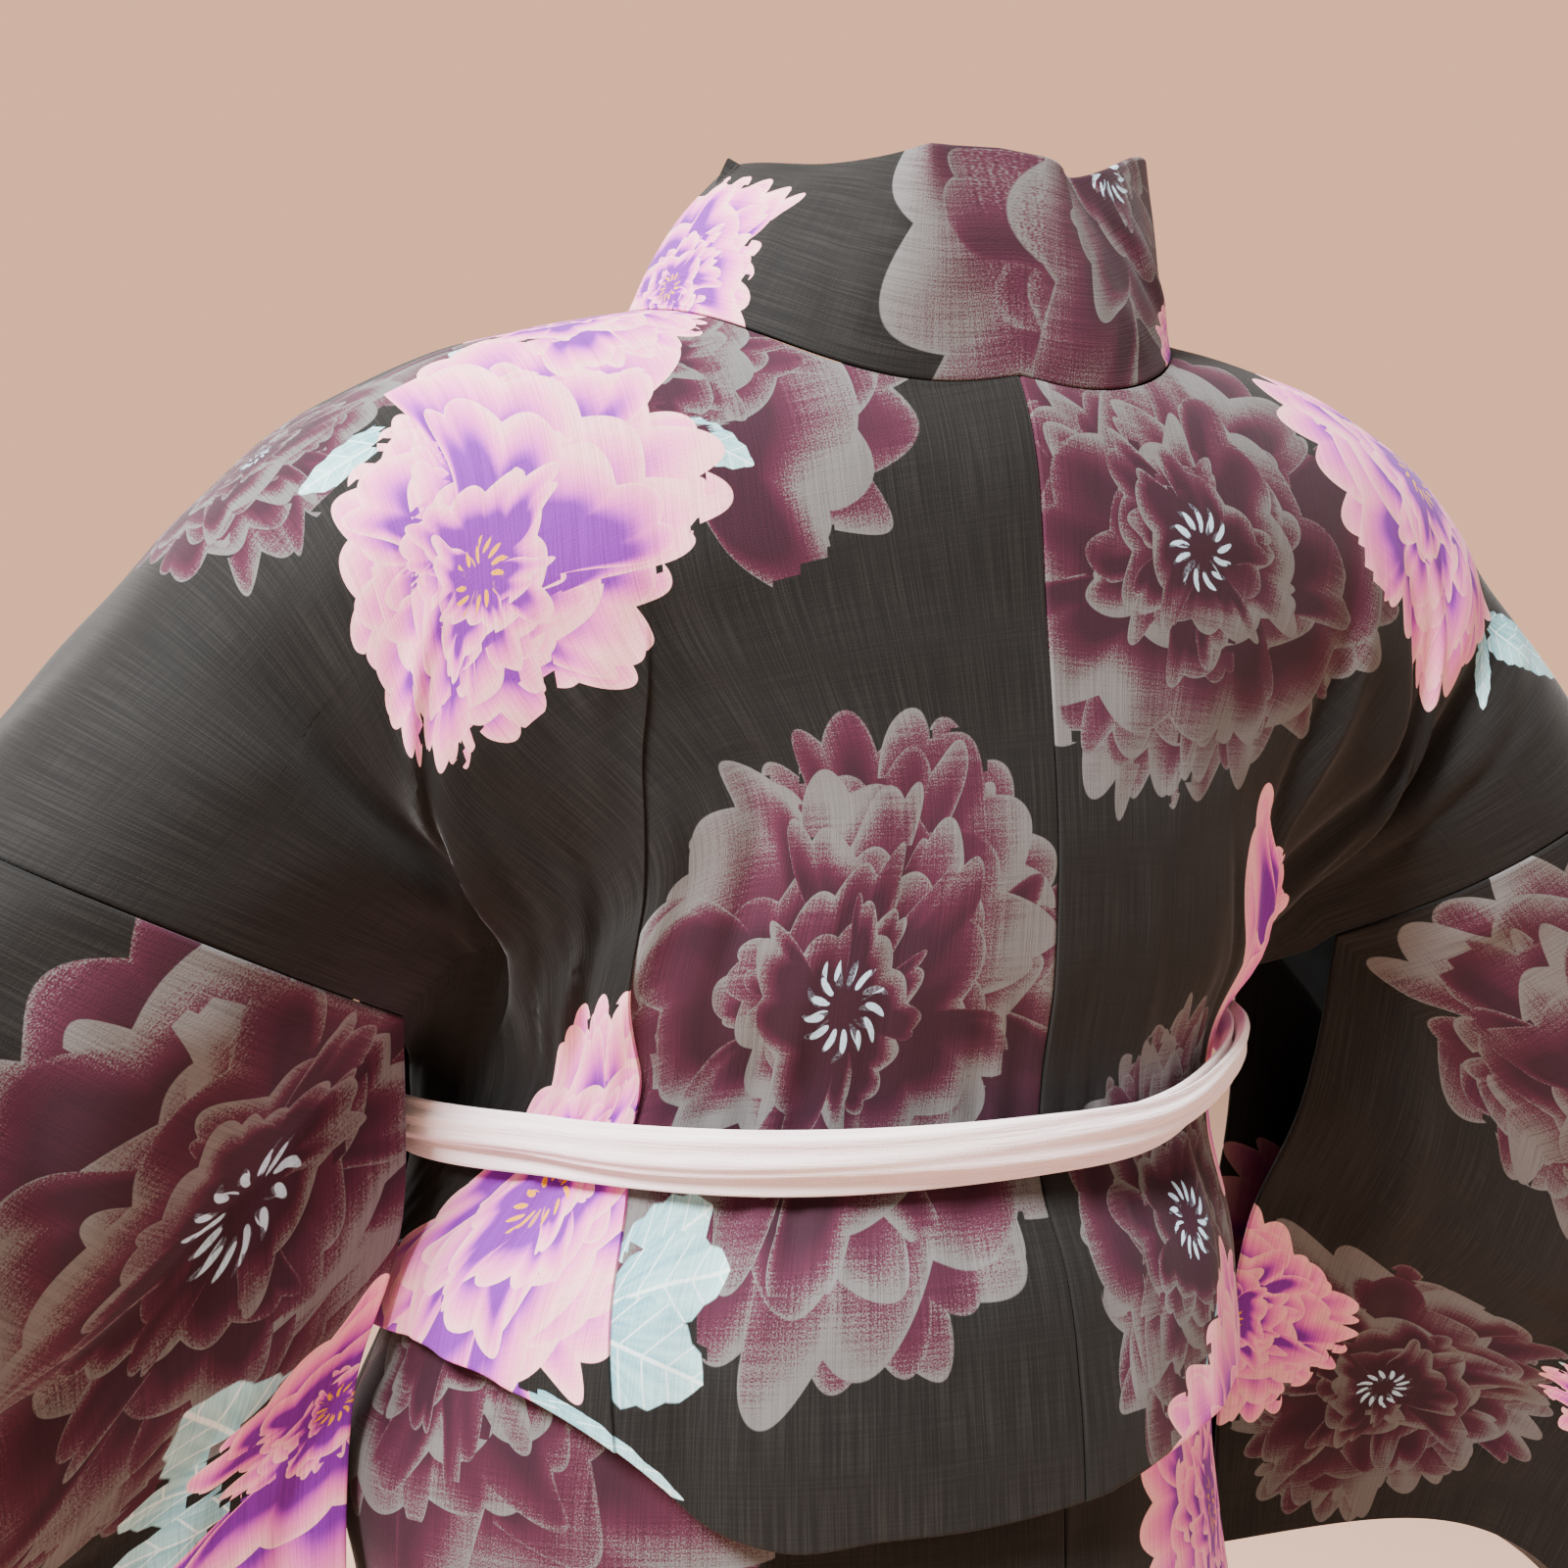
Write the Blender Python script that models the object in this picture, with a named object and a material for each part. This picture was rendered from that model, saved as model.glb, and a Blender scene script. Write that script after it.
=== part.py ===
"""Cotton yukata robe, worn and hollow, with its two-strand waist tie.

The robe hangs on a general figure whose arms are held out and down. Frame: metres, +Z up, the wearer
faces -Y, the wearer's left is +X, and the origin is the middle of the neck base on the shoulder line.
Every body length of cloth is one function of two cloth measures: u, the distance out from the centre
back, and v, the distance down from the shoulder line, counted positive on the back and negative on
the front. The same function gives the seams, so that neighbours meet along one line.
"""
import bpy
import numpy as np

# ---- Driving dimensions of the cut (metres) ----
WALL = 0.0016             # one layer of cotton, as a solid wall
SEAM_GAP = 0.0003         # clear space between two sewn pieces
SHOULDER_WIDTH = 0.372    # centre back to sleeve seam
SIDE_WIDTH = 0.300        # centre back to side seam
SLEEVE_WIDTH = 0.325
SLEEVE_DROP = 0.490
ARMHOLE = 0.200           # sleeve seam, from the shoulder line down
SIDE_OPENING_END = 0.335  # where the side seam starts, down from the shoulder line
NECK_HALF_WIDTH = 0.096
NECK_BACK_DROP = 0.100    # the collar is worn pulled back from the nape
OVERLAP_SEAM = 0.030      # u of the seam between front and overlap strip
OVERLAP_TIP = 0.220       # v where that strip starts on the front
OVERLAP_WIDTH_AT_FOLD = 0.070
OVERLAP_FOLD = 0.420      # v at which the strip has that width
COLLAR_WALL = 0.0030      # the collar is folded double
FOLD_LIP = 0.0022         # the waist fold's lower edge is this much thicker inside
SKIRT_TOP_Z = -0.312
HEM_Z = -1.265
HEM_RISE = 0.015          # the front edge of the skirt is lifted a little
LAYER = 0.0054            # left front over right front, above the waist
UNDER_TUCK = 0.0050       # the right front lies this much deeper where the left side covers it
SKIRT_LAYER = 0.0038
COLLAR_BOW = 0.0030
COLLAR_SHORT_LEFT = 1     # rows by which the collar's ends stop above the waist fold's edge
COLLAR_SHORT_RIGHT = 4
SLEEVE_FULLNESS = 0.014

# ---- The worn pose (degrees and metres) ----
NECK_SLOPE = 10.5
ARM_SLOPE = 48.5
SLOPE_START, SLOPE_END = 0.10, 0.285
SEAM_TURN = 64.0          # how far a thread at the sleeve seam swings in towards the body
ARM_TURN = 0.110          # cloth length over which a thread turns down over the arm
UNDER_TURN = 38.0         # how far the cloth of the arm turns under towards the armpit
SIDE_DIP = 0.1085         # a thread across the cloth hangs this much lower at the sleeve seam's end
SIDE_DIP_LOSS = 0.33      # and less below it, for each metre further down
SIDE_ANGLE = 98.0         # side seam, round from the centre back
OVERLAP_ANGLE = 202.0     # seam of the left overlap strip on the skirt
EDGE_ANGLE = 257.0        # front edge of the left overlap strip on the skirt
TIE_Z = -0.254

# Horizontal sections of the figure under the upper cloth, from the armpits to the waist fold.
UPPER_SECTIONS = [
    # z, half width on the left, half width on the right, back, front
    (-0.050, 0.147, 0.146, 0.098, 0.064),
    (-0.090, 0.152, 0.151, 0.106, 0.086),
    (-0.140, 0.157, 0.154, 0.1095, 0.112),
    (-0.180, 0.159, 0.150, 0.1105, 0.124),
    (-0.210, 0.157, 0.143, 0.1090, 0.123),
    (-0.242, 0.148, 0.123, 0.1025, 0.1120),
    (-0.272, 0.149, 0.120, 0.1025, 0.1120),
    (-0.300, 0.166, 0.122, 0.1180, 0.119),
    (-0.335, 0.178, 0.124, 0.1260, 0.124),
    (-0.395, 0.182, 0.127, 0.1310, 0.128),
]
SKIRT_SECTIONS = [
    # z, half width on the left, half width on the right, back, front
    (-0.312, 0.160, 0.116, 0.1180, 0.108),
    (-0.370, 0.166, 0.115, 0.1180, 0.109),
    (-0.450, 0.172, 0.126, 0.1230, 0.111),
    (-0.560, 0.173, 0.145, 0.1300, 0.112),
    (-0.750, 0.167, 0.162, 0.1220, 0.113),
    (-1.000, 0.160, 0.160, 0.1130, 0.114),
    (-1.265, 0.152, 0.152, 0.1060, 0.116),
]
# Lower edge of the waist fold, round from the centre back, positive on the wearer's left.
FOLD_EDGE = [
    # turn, z
    (-180, -0.372),
    (-140, -0.357),
    (-95, -0.338),
    (-50, -0.348),
    (-15, -0.357),
    (0, -0.362),
    (20, -0.374),
    (38, -0.379),
    (56, -0.367),
    (76, -0.351),
    (95, -0.338),
    (140, -0.358),
    (180, -0.372),
]
# Largest folds: straight creases on the cloth, negative height is a trough.
BODY_FOLDS = [
    # side, u_start, v_start, u_end, v_end, width, height
    (1, 0.275, 0.050, 0.285, 0.215, 0.020, -0.0110),
    (1, 0.200, 0.170, 0.215, 0.300, 0.010, -0.0045),
    (1, 0.165, 0.200, 0.185, 0.300, 0.009, 0.0035),
    (1, 0.125, 0.120, 0.135, 0.300, 0.008, -0.0030),
    (-1, 0.270, 0.060, 0.285, 0.215, 0.018, -0.0110),
    (-1, 0.215, 0.120, 0.225, 0.300, 0.009, -0.0050),
    (-1, 0.165, 0.160, 0.195, 0.300, 0.008, 0.0030),
    (1, 0.120, 0.300, 0.118, 0.440, 0.010, -0.0035),
    (1, 0.215, 0.290, 0.210, 0.430, 0.010, 0.0035),
    (-1, 0.100, 0.300, 0.095, 0.440, 0.012, 0.0030),
    (-1, 0.200, 0.290, 0.190, 0.430, 0.010, -0.0035),
]
COLLAR_STATIONS = [
    # distance from the nape along the seam, left_lift, right_lift, width
    (0.000, 21.0, 21.0, 0.0735),
    (0.030, 28.0, 22.0, 0.0730),
    (0.060, 33.0, 27.0, 0.0705),
    (0.110, 38.0, 56.0, 0.0640),
    (0.150, 44.0, 82.0, 0.0615),
    (0.190, 37.0, 56.0, 0.0600),
    (0.250, 19.0, 16.0, 0.0600),
    (0.600, 0.0, 0.0, 0.070),
]
SKIRT_FOLDS = [
    # turn round from the centre back, spread, height, top of the fold
    (24.0, 9.0, -0.0040, -0.42),
    (52.0, 10.0, 0.0050, -0.45),
    (78.0, 8.0, -0.0045, -0.50),
    (150.0, 10.0, 0.0045, -0.48),
    (228.0, 11.0, -0.0050, -0.45),
    (288.0, 9.0, 0.0050, -0.46),
    (318.0, 10.0, -0.0045, -0.43),
    (340.0, 8.0, 0.0035, -0.50),
]
# Free inner edge of each sleeve below the sleeve seam.
SLEEVE_INNER_EDGE = [
    # down, out on the left, out on the right, forward on the right, z
    (0.250, 0.180, 0.176, 0.004, -0.280),
    (0.320, 0.193, 0.170, 0.018, -0.337),
    (0.400, 0.197, 0.168, 0.030, -0.400),
    (0.490, 0.195, 0.170, 0.038, -0.476),
]
# Wrist edge of the left sleeve, measured from the end of the top fold.
SLEEVE_WRIST_EDGE = [
    # down, x, half_depth, z
    (0.000, 0.000, 0.0000, 0.000),
    (0.045, -0.006, 0.0330, -0.020),
    (0.120, 0.004, 0.0360, -0.092),
    (0.200, 0.006, 0.0170, -0.165),
    (0.240, 0.002, 0.0030, -0.195),
    (0.360, -0.030, 0.0028, -0.262),
    (0.490, -0.095, 0.0028, -0.300),
]
TIE_STRANDS = [
    # name, column of its height in TIE_COURSE, offset, half_height, half_thickness
    ("tie_upper", 1, 0.0098, 0.0066, 0.0021),
    ("tie_lower", 2, 0.0050, 0.0072, 0.0021),
]
# Height of both strands round from the centre back, positive on the wearer's left.
TIE_COURSE = [
    # turn, upper z, lower z
    (-180, -0.2450, -0.2490),
    (-110, -0.2465, -0.2490),
    (-60, -0.2460, -0.2475),
    (-42, -0.2505, -0.2520),
    (-25, -0.2565, -0.2590),
    (0, -0.2570, -0.2620),
    (45, -0.2560, -0.2620),
    (75, -0.2535, -0.2595),
    (110, -0.2520, -0.2560),
    (150, -0.2475, -0.2515),
    (180, -0.2450, -0.2490),
]

# Rows of the grids, as distances down from the shoulder line. Pieces that meet share them. The back
# starts with the rows that end on the round neck seam. Below the last of them, rows are even parts
# of what is left down to the waist fold's edge.
NECK_ROWS = NECK_BACK_DROP * np.cos(np.radians(np.linspace(90, 0, 11)))
BACK_ROWS = np.concatenate([NECK_ROWS, [0.125, 0.150, 0.175, ARMHOLE]])
FRONT_ROWS = np.array([0.0, 0.015, 0.030, 0.050, 0.075, 0.100, 0.125, 0.145, 0.160, 0.175, 0.1875, ARMHOLE,
                       OVERLAP_TIP])
LOWER_PARTS = np.linspace(0, 1, 10)[1:]

KNOT_OUT = 0.0126         # clear of the strands' outer faces
TAIL_OUT = 0.0046
KNOT_Z = -0.247
TIE_KNOT_TURN = 186.0     # where the tie is knotted, round from the centre back
TIE_KNOT_SIZE = (0.0170, 0.0075, 0.0150)
TIE_TAIL = (0.016, 0.0032, 0.085)
TIE_TAIL_PLACES = [
    # name, sideways, lean, height of the top
    ("tie_end_left", 0.0105, 0.16, -0.2645),
    ("tie_end_right", -0.0105, -0.10, -0.2645),
]

COTTON = ("cotton_print", (0.035, 0.033, 0.030, 1.0), 0.85)
SASH = ("sash_knit", (0.80, 0.66, 0.76, 1.0), 0.90)


def column(table, index):
    return np.array([row[index] for row in table], dtype=float)


def smooth(low, high, value):
    """Ease from 0 at low to 1 at high."""
    t = np.clip((value - low) / (high - low), 0.0, 1.0)
    return t * t * (3.0 - 2.0 * t)


def through(xs, ys, x):
    """Smooth curve through the points (xs, ys), with xs rising: cubic pieces with shared slopes."""
    xs, ys, x = np.asarray(xs, float), np.asarray(ys, float), np.asarray(x, float)
    slope = np.gradient(ys, xs)
    i = np.clip(np.searchsorted(xs, x) - 1, 0, len(xs) - 2)
    h = xs[i + 1] - xs[i]
    t = np.clip((x - xs[i]) / h, 0.0, 1.0)
    a, b = ys[i], ys[i + 1]
    return ((1 + 2 * t) * (1 - t) ** 2 * a + t * (1 - t) ** 2 * h * slope[i]
            + t * t * (3 - 2 * t) * b + t * t * (t - 1) * h * slope[i + 1])


def shoulder_line(u):
    """Point on the top of shoulder and arm at cloth distance u from the neck centre."""
    steps = np.linspace(0.0, 0.75, 501)
    slope = np.radians(NECK_SLOPE + (ARM_SLOPE - NECK_SLOPE) * smooth(SLOPE_START, SLOPE_END, steps))
    x = np.concatenate([[0.0], np.cumsum(np.cos(slope[:-1]) * np.diff(steps))])
    z = np.concatenate([[0.0], -np.cumsum(np.sin(slope[:-1]) * np.diff(steps))])
    z = z - np.interp(NECK_HALF_WIDTH, steps, z)
    return np.where(u < 0, u, np.interp(u, steps, x)), np.interp(u, steps, z)


def section(sections, z, left):
    """Half width, back depth and front depth at height z, from a table that runs downwards. The
    half width is the left one where left is true."""
    heights = column(sections, 0)[::-1]
    on_left, on_right, back, front = [through(heights, column(sections, i)[::-1], z) for i in (1, 2, 3, 4)]
    return np.where(left, on_left, on_right), back, front


def ring(sections, angle, z, out=0.0, side=1):
    """Point on a horizontal section: an ellipse whose depth differs front and back and whose half
    width differs left and right, moved out. The angle grows from the back towards the given side."""
    angle = np.radians(angle)
    half, back, front = section(sections, z, np.sin(angle) * side > 0)
    depth = np.where(np.cos(angle) > 0, back, front)
    x, y = half * np.sin(angle), depth * np.cos(angle)
    nx, ny = np.sin(angle) / half, np.cos(angle) / depth
    length = np.hypot(nx, ny)
    return np.stack([x + out * nx / length, y + out * ny / length, z + 0.0 * x], axis=-1)


def side_edge(v):
    """u of the outer edge: the sleeve seam above, the side seam below the side opening."""
    return SHOULDER_WIDTH + (SIDE_WIDTH - SHOULDER_WIDTH) * smooth(ARMHOLE, SIDE_OPENING_END, np.abs(v))


def centre_height(v):
    """Height of the centre back at cloth distance v: the threads there run over the back and down."""
    return draped(np.zeros_like(v), v, 1)[..., 2]


def draped(u, v, face):
    """Cloth over shoulder and arm. Each thread turns from level to hanging over a length that is
    long on the torso and short on the arm, and towards the sleeve seam it swings in to the body.
    Below the armhole it hangs straight down."""
    arm = smooth(0.04, 0.24, u)
    turn = (0.170 if face > 0 else 0.135) * (1 - arm) + ARM_TURN * arm
    start = (5.0 if face > 0 else 12.0) * (1 - arm)
    parts = (np.arange(24) + 0.5) / 24
    run = np.minimum(v, ARMHOLE)
    s = run[..., None] * parts
    under = UNDER_TURN * smooth(0.20, 0.33, u)[..., None] * smooth(0.08, 0.20, s)
    angle = np.radians(start[..., None] + (90 - start[..., None]) * smooth(0, turn[..., None], s) + under)
    out = run * np.cos(angle).mean(axis=-1)
    down = run * np.sin(angle).mean(axis=-1)
    swing = np.radians(SEAM_TURN) * smooth(0.15, SHOULDER_WIDTH, u)
    x, z = shoulder_line(u)
    drop = z - down * np.cos(swing) - (v - run)
    return np.stack([x - down * np.sin(swing), face * out, drop], axis=-1)


def body_base(u, v, face, side):
    """One half of the upper cloth before folds, as if it were the left: draped above, rings round the
    figure below. On the chest, depth and height depend on x alone, so that left and right fronts lie
    on one surface."""
    edge = side_edge(v)
    far = smooth(0.14 if face > 0 else 0.20, 0.33, u)
    opening = 5.0 * smooth(ARMHOLE - 0.02, 0.26, v) * (1 - smooth(0.30, SIDE_OPENING_END, v))
    if face > 0:
        angle = (SIDE_ANGLE - opening) * u / edge
    else:
        reach = (edge - u) / (edge - OVERLAP_SEAM)
        angle = SIDE_ANGLE + opening + (OVERLAP_ANGLE - SIDE_ANGLE - opening) * reach
    dip = SIDE_DIP * smooth(0.0, ARMHOLE, v) - SIDE_DIP_LOSS * np.maximum(v - ARMHOLE, 0)
    height = centre_height(v) - dip * smooth(0.12, 0.34, u)
    weight = smooth(0.12 + 0.08 * far, 0.25 - 0.028 * far, v)
    upper, lower = draped(u, v, face), ring(UPPER_SECTIONS, angle, height, 0.0, side)
    point = (1 - weight)[..., None] * upper + weight[..., None] * lower
    if face < 0:
        x = point[..., 0]
        upper = draped(np.abs(x), v, face)
        half, _, front = section(UPPER_SECTIONS, height, x * side > 0)
        depth = -front * np.sqrt(np.maximum(1 - (x / half) ** 2, 0.04))
        chest = 1 - smooth(0.115, 0.145, np.abs(x))
        point[..., 1] += chest * ((1 - weight) * upper[..., 1] + weight * depth - point[..., 1])
        point[..., 2] += chest * ((1 - weight) * upper[..., 2] + weight * height - point[..., 2])
    return point


def fold_height(folds, side, u, v):
    """Sum of soft straight creases, each a bell across its line that fades at both ends."""
    total = np.zeros_like(u)
    for row_side, u0, v0, u1, v1, width, height in folds:
        if row_side != side:
            continue
        du, dv = u1 - u0, v1 - v0
        along = ((u - u0) * du + (v - v0) * dv) / (du * du + dv * dv)
        across = ((u - u0) * dv - (v - v0) * du) / np.hypot(du, dv)
        fade = smooth(-0.25, 0.35, along) * (1 - smooth(0.70, 1.25, along))
        total += height * fade * np.exp(-(across / width) ** 2)
    return total


def unit(vector):
    return vector / np.maximum(np.linalg.norm(vector, axis=-1, keepdims=True), 1e-12)


def body_point(u, v, side, with_normal=False):
    """Upper cloth of one side at (u, v). side is 1 for the left and -1 for the right."""
    u, v = np.broadcast_arrays(np.asarray(u, float), np.asarray(v, float))
    step = 0.001

    def base(uu, vv):
        back = body_base(uu, np.abs(vv), 1, side)
        front = body_base(uu, np.abs(vv), -1, side)
        return np.where((vv >= 0)[..., None], back, front)

    point = base(u, v)
    normal = unit(np.cross(base(u + step, v) - base(u - step, v), base(u, v + step) - base(u, v - step)))
    far = point[..., 0]
    tuck = UNDER_TUCK * smooth(-0.28, -0.23, point[..., 2]) * (side < 0)
    over = side * LAYER * smooth(0.09, -0.09, far) - tuck * smooth(-0.04, -0.11, far)
    over = over * smooth(0.005, 0.055, -v)
    pinch = 1 - 0.9 * np.exp(-((point[..., 2] - TIE_Z) / 0.020) ** 2)
    point = point + normal * (over + pinch * fold_height(BODY_FOLDS, side, u, v))[..., None]
    flip = np.array([side, 1.0, 1.0])
    if with_normal:
        return point * flip, normal * flip
    return point * flip


def fold_edge(turn):
    """Height of the lower edge of the waist fold, round from the centre back."""
    turn = (np.asarray(turn, float) + 180) % 360 - 180
    return through(column(FOLD_EDGE, 0), column(FOLD_EDGE, 1), turn)


def lowest_v(u, face, side):
    """Cloth distance v at which the upper cloth reaches the lower edge of the waist fold."""
    vs = np.linspace(0.26, 0.50, 97)
    grid = body_base(u[:, None] + 0 * vs, vs + 0 * u[:, None], face, side)
    turn = np.degrees(np.arctan2(side * grid[..., 0], grid[..., 1]))
    gap = grid[..., 2] - fold_edge(turn)
    return np.array([np.interp(0.0, -row, vs) for row in gap])


def inner_edge(v):
    """u of the inner edge of a body length: centre back seam, collar seam, then overlap strip seam."""
    v = np.asarray(v, float)
    t = np.clip(v / NECK_BACK_DROP, 0, 1)
    on_back = NECK_HALF_WIDTH * np.maximum(1 - t ** 2, 0.0) ** (1 / 2.4)
    on_front = NECK_HALF_WIDTH + (OVERLAP_SEAM - NECK_HALF_WIDTH) * np.clip(-v / OVERLAP_TIP, 0, 1)
    return np.where(v >= 0, on_back, on_front)


def grid_normals(points, closed=False):
    """Unit normals of a grid, from differences along its rows and its columns."""
    if closed:
        wide = np.concatenate([points[:, -1:], points, points[:, :1]], axis=1)
        across = wide[:, 2:] - wide[:, :-2]
    else:
        across = np.gradient(points, axis=1)
    return unit(np.cross(np.gradient(points, axis=0), across))


def wall(name, outer, normals, thickness, material, closed=False):
    """One closed solid from a grid of outer points: the same grid moved in along its outward
    normals, joined by a rim. With closed, each row of the grid is a loop."""
    rows, cols = outer.shape[:2]
    inner = outer - normals * (thickness + np.zeros((rows, cols)))[..., None]
    points = np.concatenate([outer.reshape(-1, 3), inner.reshape(-1, 3)])
    index = np.arange(rows * cols).reshape(rows, cols)
    if closed:
        index = np.concatenate([index, index[:, :1]], axis=1)
    quads = np.stack([index[:-1, :-1], index[1:, :-1], index[1:, 1:], index[:-1, 1:]], axis=-1)
    quads = quads.reshape(-1, 4)
    shift = rows * cols
    faces = [quads, quads[:, ::-1] + shift]
    rims = [index[0, :], index[-1, ::-1]]
    if not closed:
        rims += [index[::-1, 0], index[:, -1]]
    for rim in rims:
        faces.append(np.stack([rim[:-1], rim[1:], rim[1:] + shift, rim[:-1] + shift], axis=-1))
    return add_object(name, points, np.concatenate(faces), material)


def loop_tube(name, rings, material):
    """One closed solid from rings of points that run round and meet: a band with no ends."""
    rows, cols = rings.shape[:2]
    index = np.arange(rows * cols).reshape(rows, cols)
    ahead, right = np.roll(index, -1, axis=0), np.roll(index, -1, axis=1)
    both = np.roll(ahead, -1, axis=1)
    faces = np.stack([index, ahead, both, right], axis=-1).reshape(-1, 4)
    return add_object(name, rings.reshape(-1, 3), faces, material)


def add_object(name, points, faces, material):
    mesh = bpy.data.meshes.new(name)
    mesh.from_pydata(points.tolist(), [], [[int(i) for i in face] for face in faces])
    mesh.materials.append(make_material(*material))
    if signed_volume(mesh) < 0:
        mesh.flip_normals()
    mesh.shade_smooth()
    mesh.set_sharp_from_angle(angle=np.radians(50))
    obj = bpy.data.objects.new(name, mesh)
    bpy.context.collection.objects.link(obj)
    return obj


def signed_volume(mesh):
    """Volume inside a closed mesh, negative where its faces point in."""
    mesh.calc_loop_triangles()
    corners = np.array([[mesh.vertices[i].co[:] for i in t.vertices] for t in mesh.loop_triangles])
    return float((corners[:, 0] * np.cross(corners[:, 1], corners[:, 2])).sum() / 6)


def make_material(name, colour, roughness):
    material = bpy.data.materials.get(name) or bpy.data.materials.new(name)
    material.use_nodes = True
    shader = material.node_tree.nodes["Principled BSDF"]
    shader.inputs["Base Color"].default_value = colour
    shader.inputs["Roughness"].default_value = roughness
    material.diffuse_color = colour
    return material


def build_body(side, name, cols=15):
    """One length of cloth from the waist fold at the back over the shoulder to the front. Its lower
    edge is turned under, so that the wall is thicker there."""
    across = np.linspace(0, 1, cols)
    back_low = lowest_v(across * SIDE_WIDTH, 1, side)
    front_low = lowest_v(OVERLAP_SEAM + across * (SIDE_WIDTH - OVERLAP_SEAM), -1, side)
    v = np.concatenate([lower_rows(back_low, ARMHOLE)[::-1], BACK_ROWS[::-1, None] + 0 * back_low,
                        -FRONT_ROWS[1:, None] + 0 * front_low, -lower_rows(front_low, OVERLAP_TIP)])
    lip = np.zeros_like(v)
    lip[[0, -1]] = FOLD_LIP
    low = inner_edge(v) + SEAM_GAP / 2
    high = side_edge(v) - SEAM_GAP / 2
    points, normals = body_point(low + (high - low) * across, v, side, with_normal=True)
    return wall(name, points, normals, WALL + lip, COTTON)


def lower_rows(low, top):
    """Rows from just under top down to low, one column for each value of low."""
    return top + LOWER_PARTS[:, None] * (low - top)


def overlap_width(v):
    """Width of the upper overlap strip at cloth distance v: it widens from its tip."""
    return OVERLAP_WIDTH_AT_FOLD * (v - OVERLAP_TIP) / (OVERLAP_FOLD - OVERLAP_TIP)


def build_overlap(side, name, cols=4):
    """The wedge between the front and the collar, from near its tip down to the waist fold."""
    across = np.linspace(0, 1, cols)
    v = lower_rows(lowest_v(OVERLAP_SEAM - across * OVERLAP_WIDTH_AT_FOLD, -1, side), OVERLAP_TIP)
    lip = np.zeros_like(v)
    lip[-1] = FOLD_LIP
    u = OVERLAP_SEAM - SEAM_GAP / 2 - across * (overlap_width(v) - SEAM_GAP)
    points, normals = body_point(u, -v, side, with_normal=True)
    return wall(name, points, normals, WALL + lip, COTTON)


def collar_path(side, short):
    """Cloth places (u, v) along the collar seam of one side: round the nape to the neck side, down
    the front to the tip of the overlap strip, then along that strip's edge, some rows short of its
    end. Also the distance along it."""
    low = lowest_v(np.array([OVERLAP_SEAM - OVERLAP_WIDTH_AT_FOLD]), -1, side)
    strip = lower_rows(low, OVERLAP_TIP)[:-short, 0]
    v = np.concatenate([NECK_ROWS[::-1], -FRONT_ROWS[1:], -strip])
    u = np.concatenate([inner_edge(v[v >= 0]), inner_edge(-FRONT_ROWS[1:]), OVERLAP_SEAM - overlap_width(strip)])
    length = np.concatenate([[0], np.cumsum(np.hypot(np.diff(u), np.diff(v)))])
    return u, v, length


def collar_half(side, cols, short):
    """Half the collar, from the nape. Round the neck it stands on its seam at a given lift, and
    down the front it lies on the same surface as the cloth beside it."""
    u, v, at = collar_path(side, short)
    seam, normal = body_point(u, v, side, with_normal=True)
    to_neck = unit(side * np.cross(np.gradient(seam, at, axis=0), normal))
    stations = COLLAR_STATIONS
    lift = np.radians(through(column(stations, 0), column(stations, 1 if side > 0 else 2), at))
    width = through(column(stations, 0), column(stations, 3), at)
    across = (SEAM_GAP + np.linspace(0, 1, cols)[None, :] * (width[:, None] - SEAM_GAP))
    stand_way = np.cos(lift)[:, None] * to_neck + np.sin(lift)[:, None] * normal
    bow = COLLAR_BOW * np.sin(np.pi * across / width[:, None])
    stand = seam[:, None] + across[..., None] * stand_way[:, None]
    du, dv = np.gradient(u, at), np.gradient(v, at)
    flat = np.hypot(du, dv)
    lie_u = u[:, None] + across * (dv / flat)[:, None]
    lie_v = v[:, None] - across * (du / flat)[:, None]
    lie = body_point(lie_u, lie_v, side)
    weight = smooth(0.19, 0.30, at)[:, None, None]
    points = (1 - weight) * stand + weight * lie
    out = unit(side * np.cross(np.gradient(points, axis=1), np.gradient(points, axis=0)))
    return points + out * (bow * (1 - weight[..., 0]))[..., None]


def build_collar(name, cols=5):
    """The whole collar in one band: right end, round the neck, left end."""
    right = collar_half(-1, cols, COLLAR_SHORT_RIGHT)[::-1]
    left = collar_half(1, cols, COLLAR_SHORT_LEFT)
    middle = (right[-1:] + left[:1]) / 2
    points = np.concatenate([right[:-1], middle, left[1:]])
    normals = -grid_normals(points)
    return wall(name, points, normals, COLLAR_WALL, COTTON)


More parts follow.
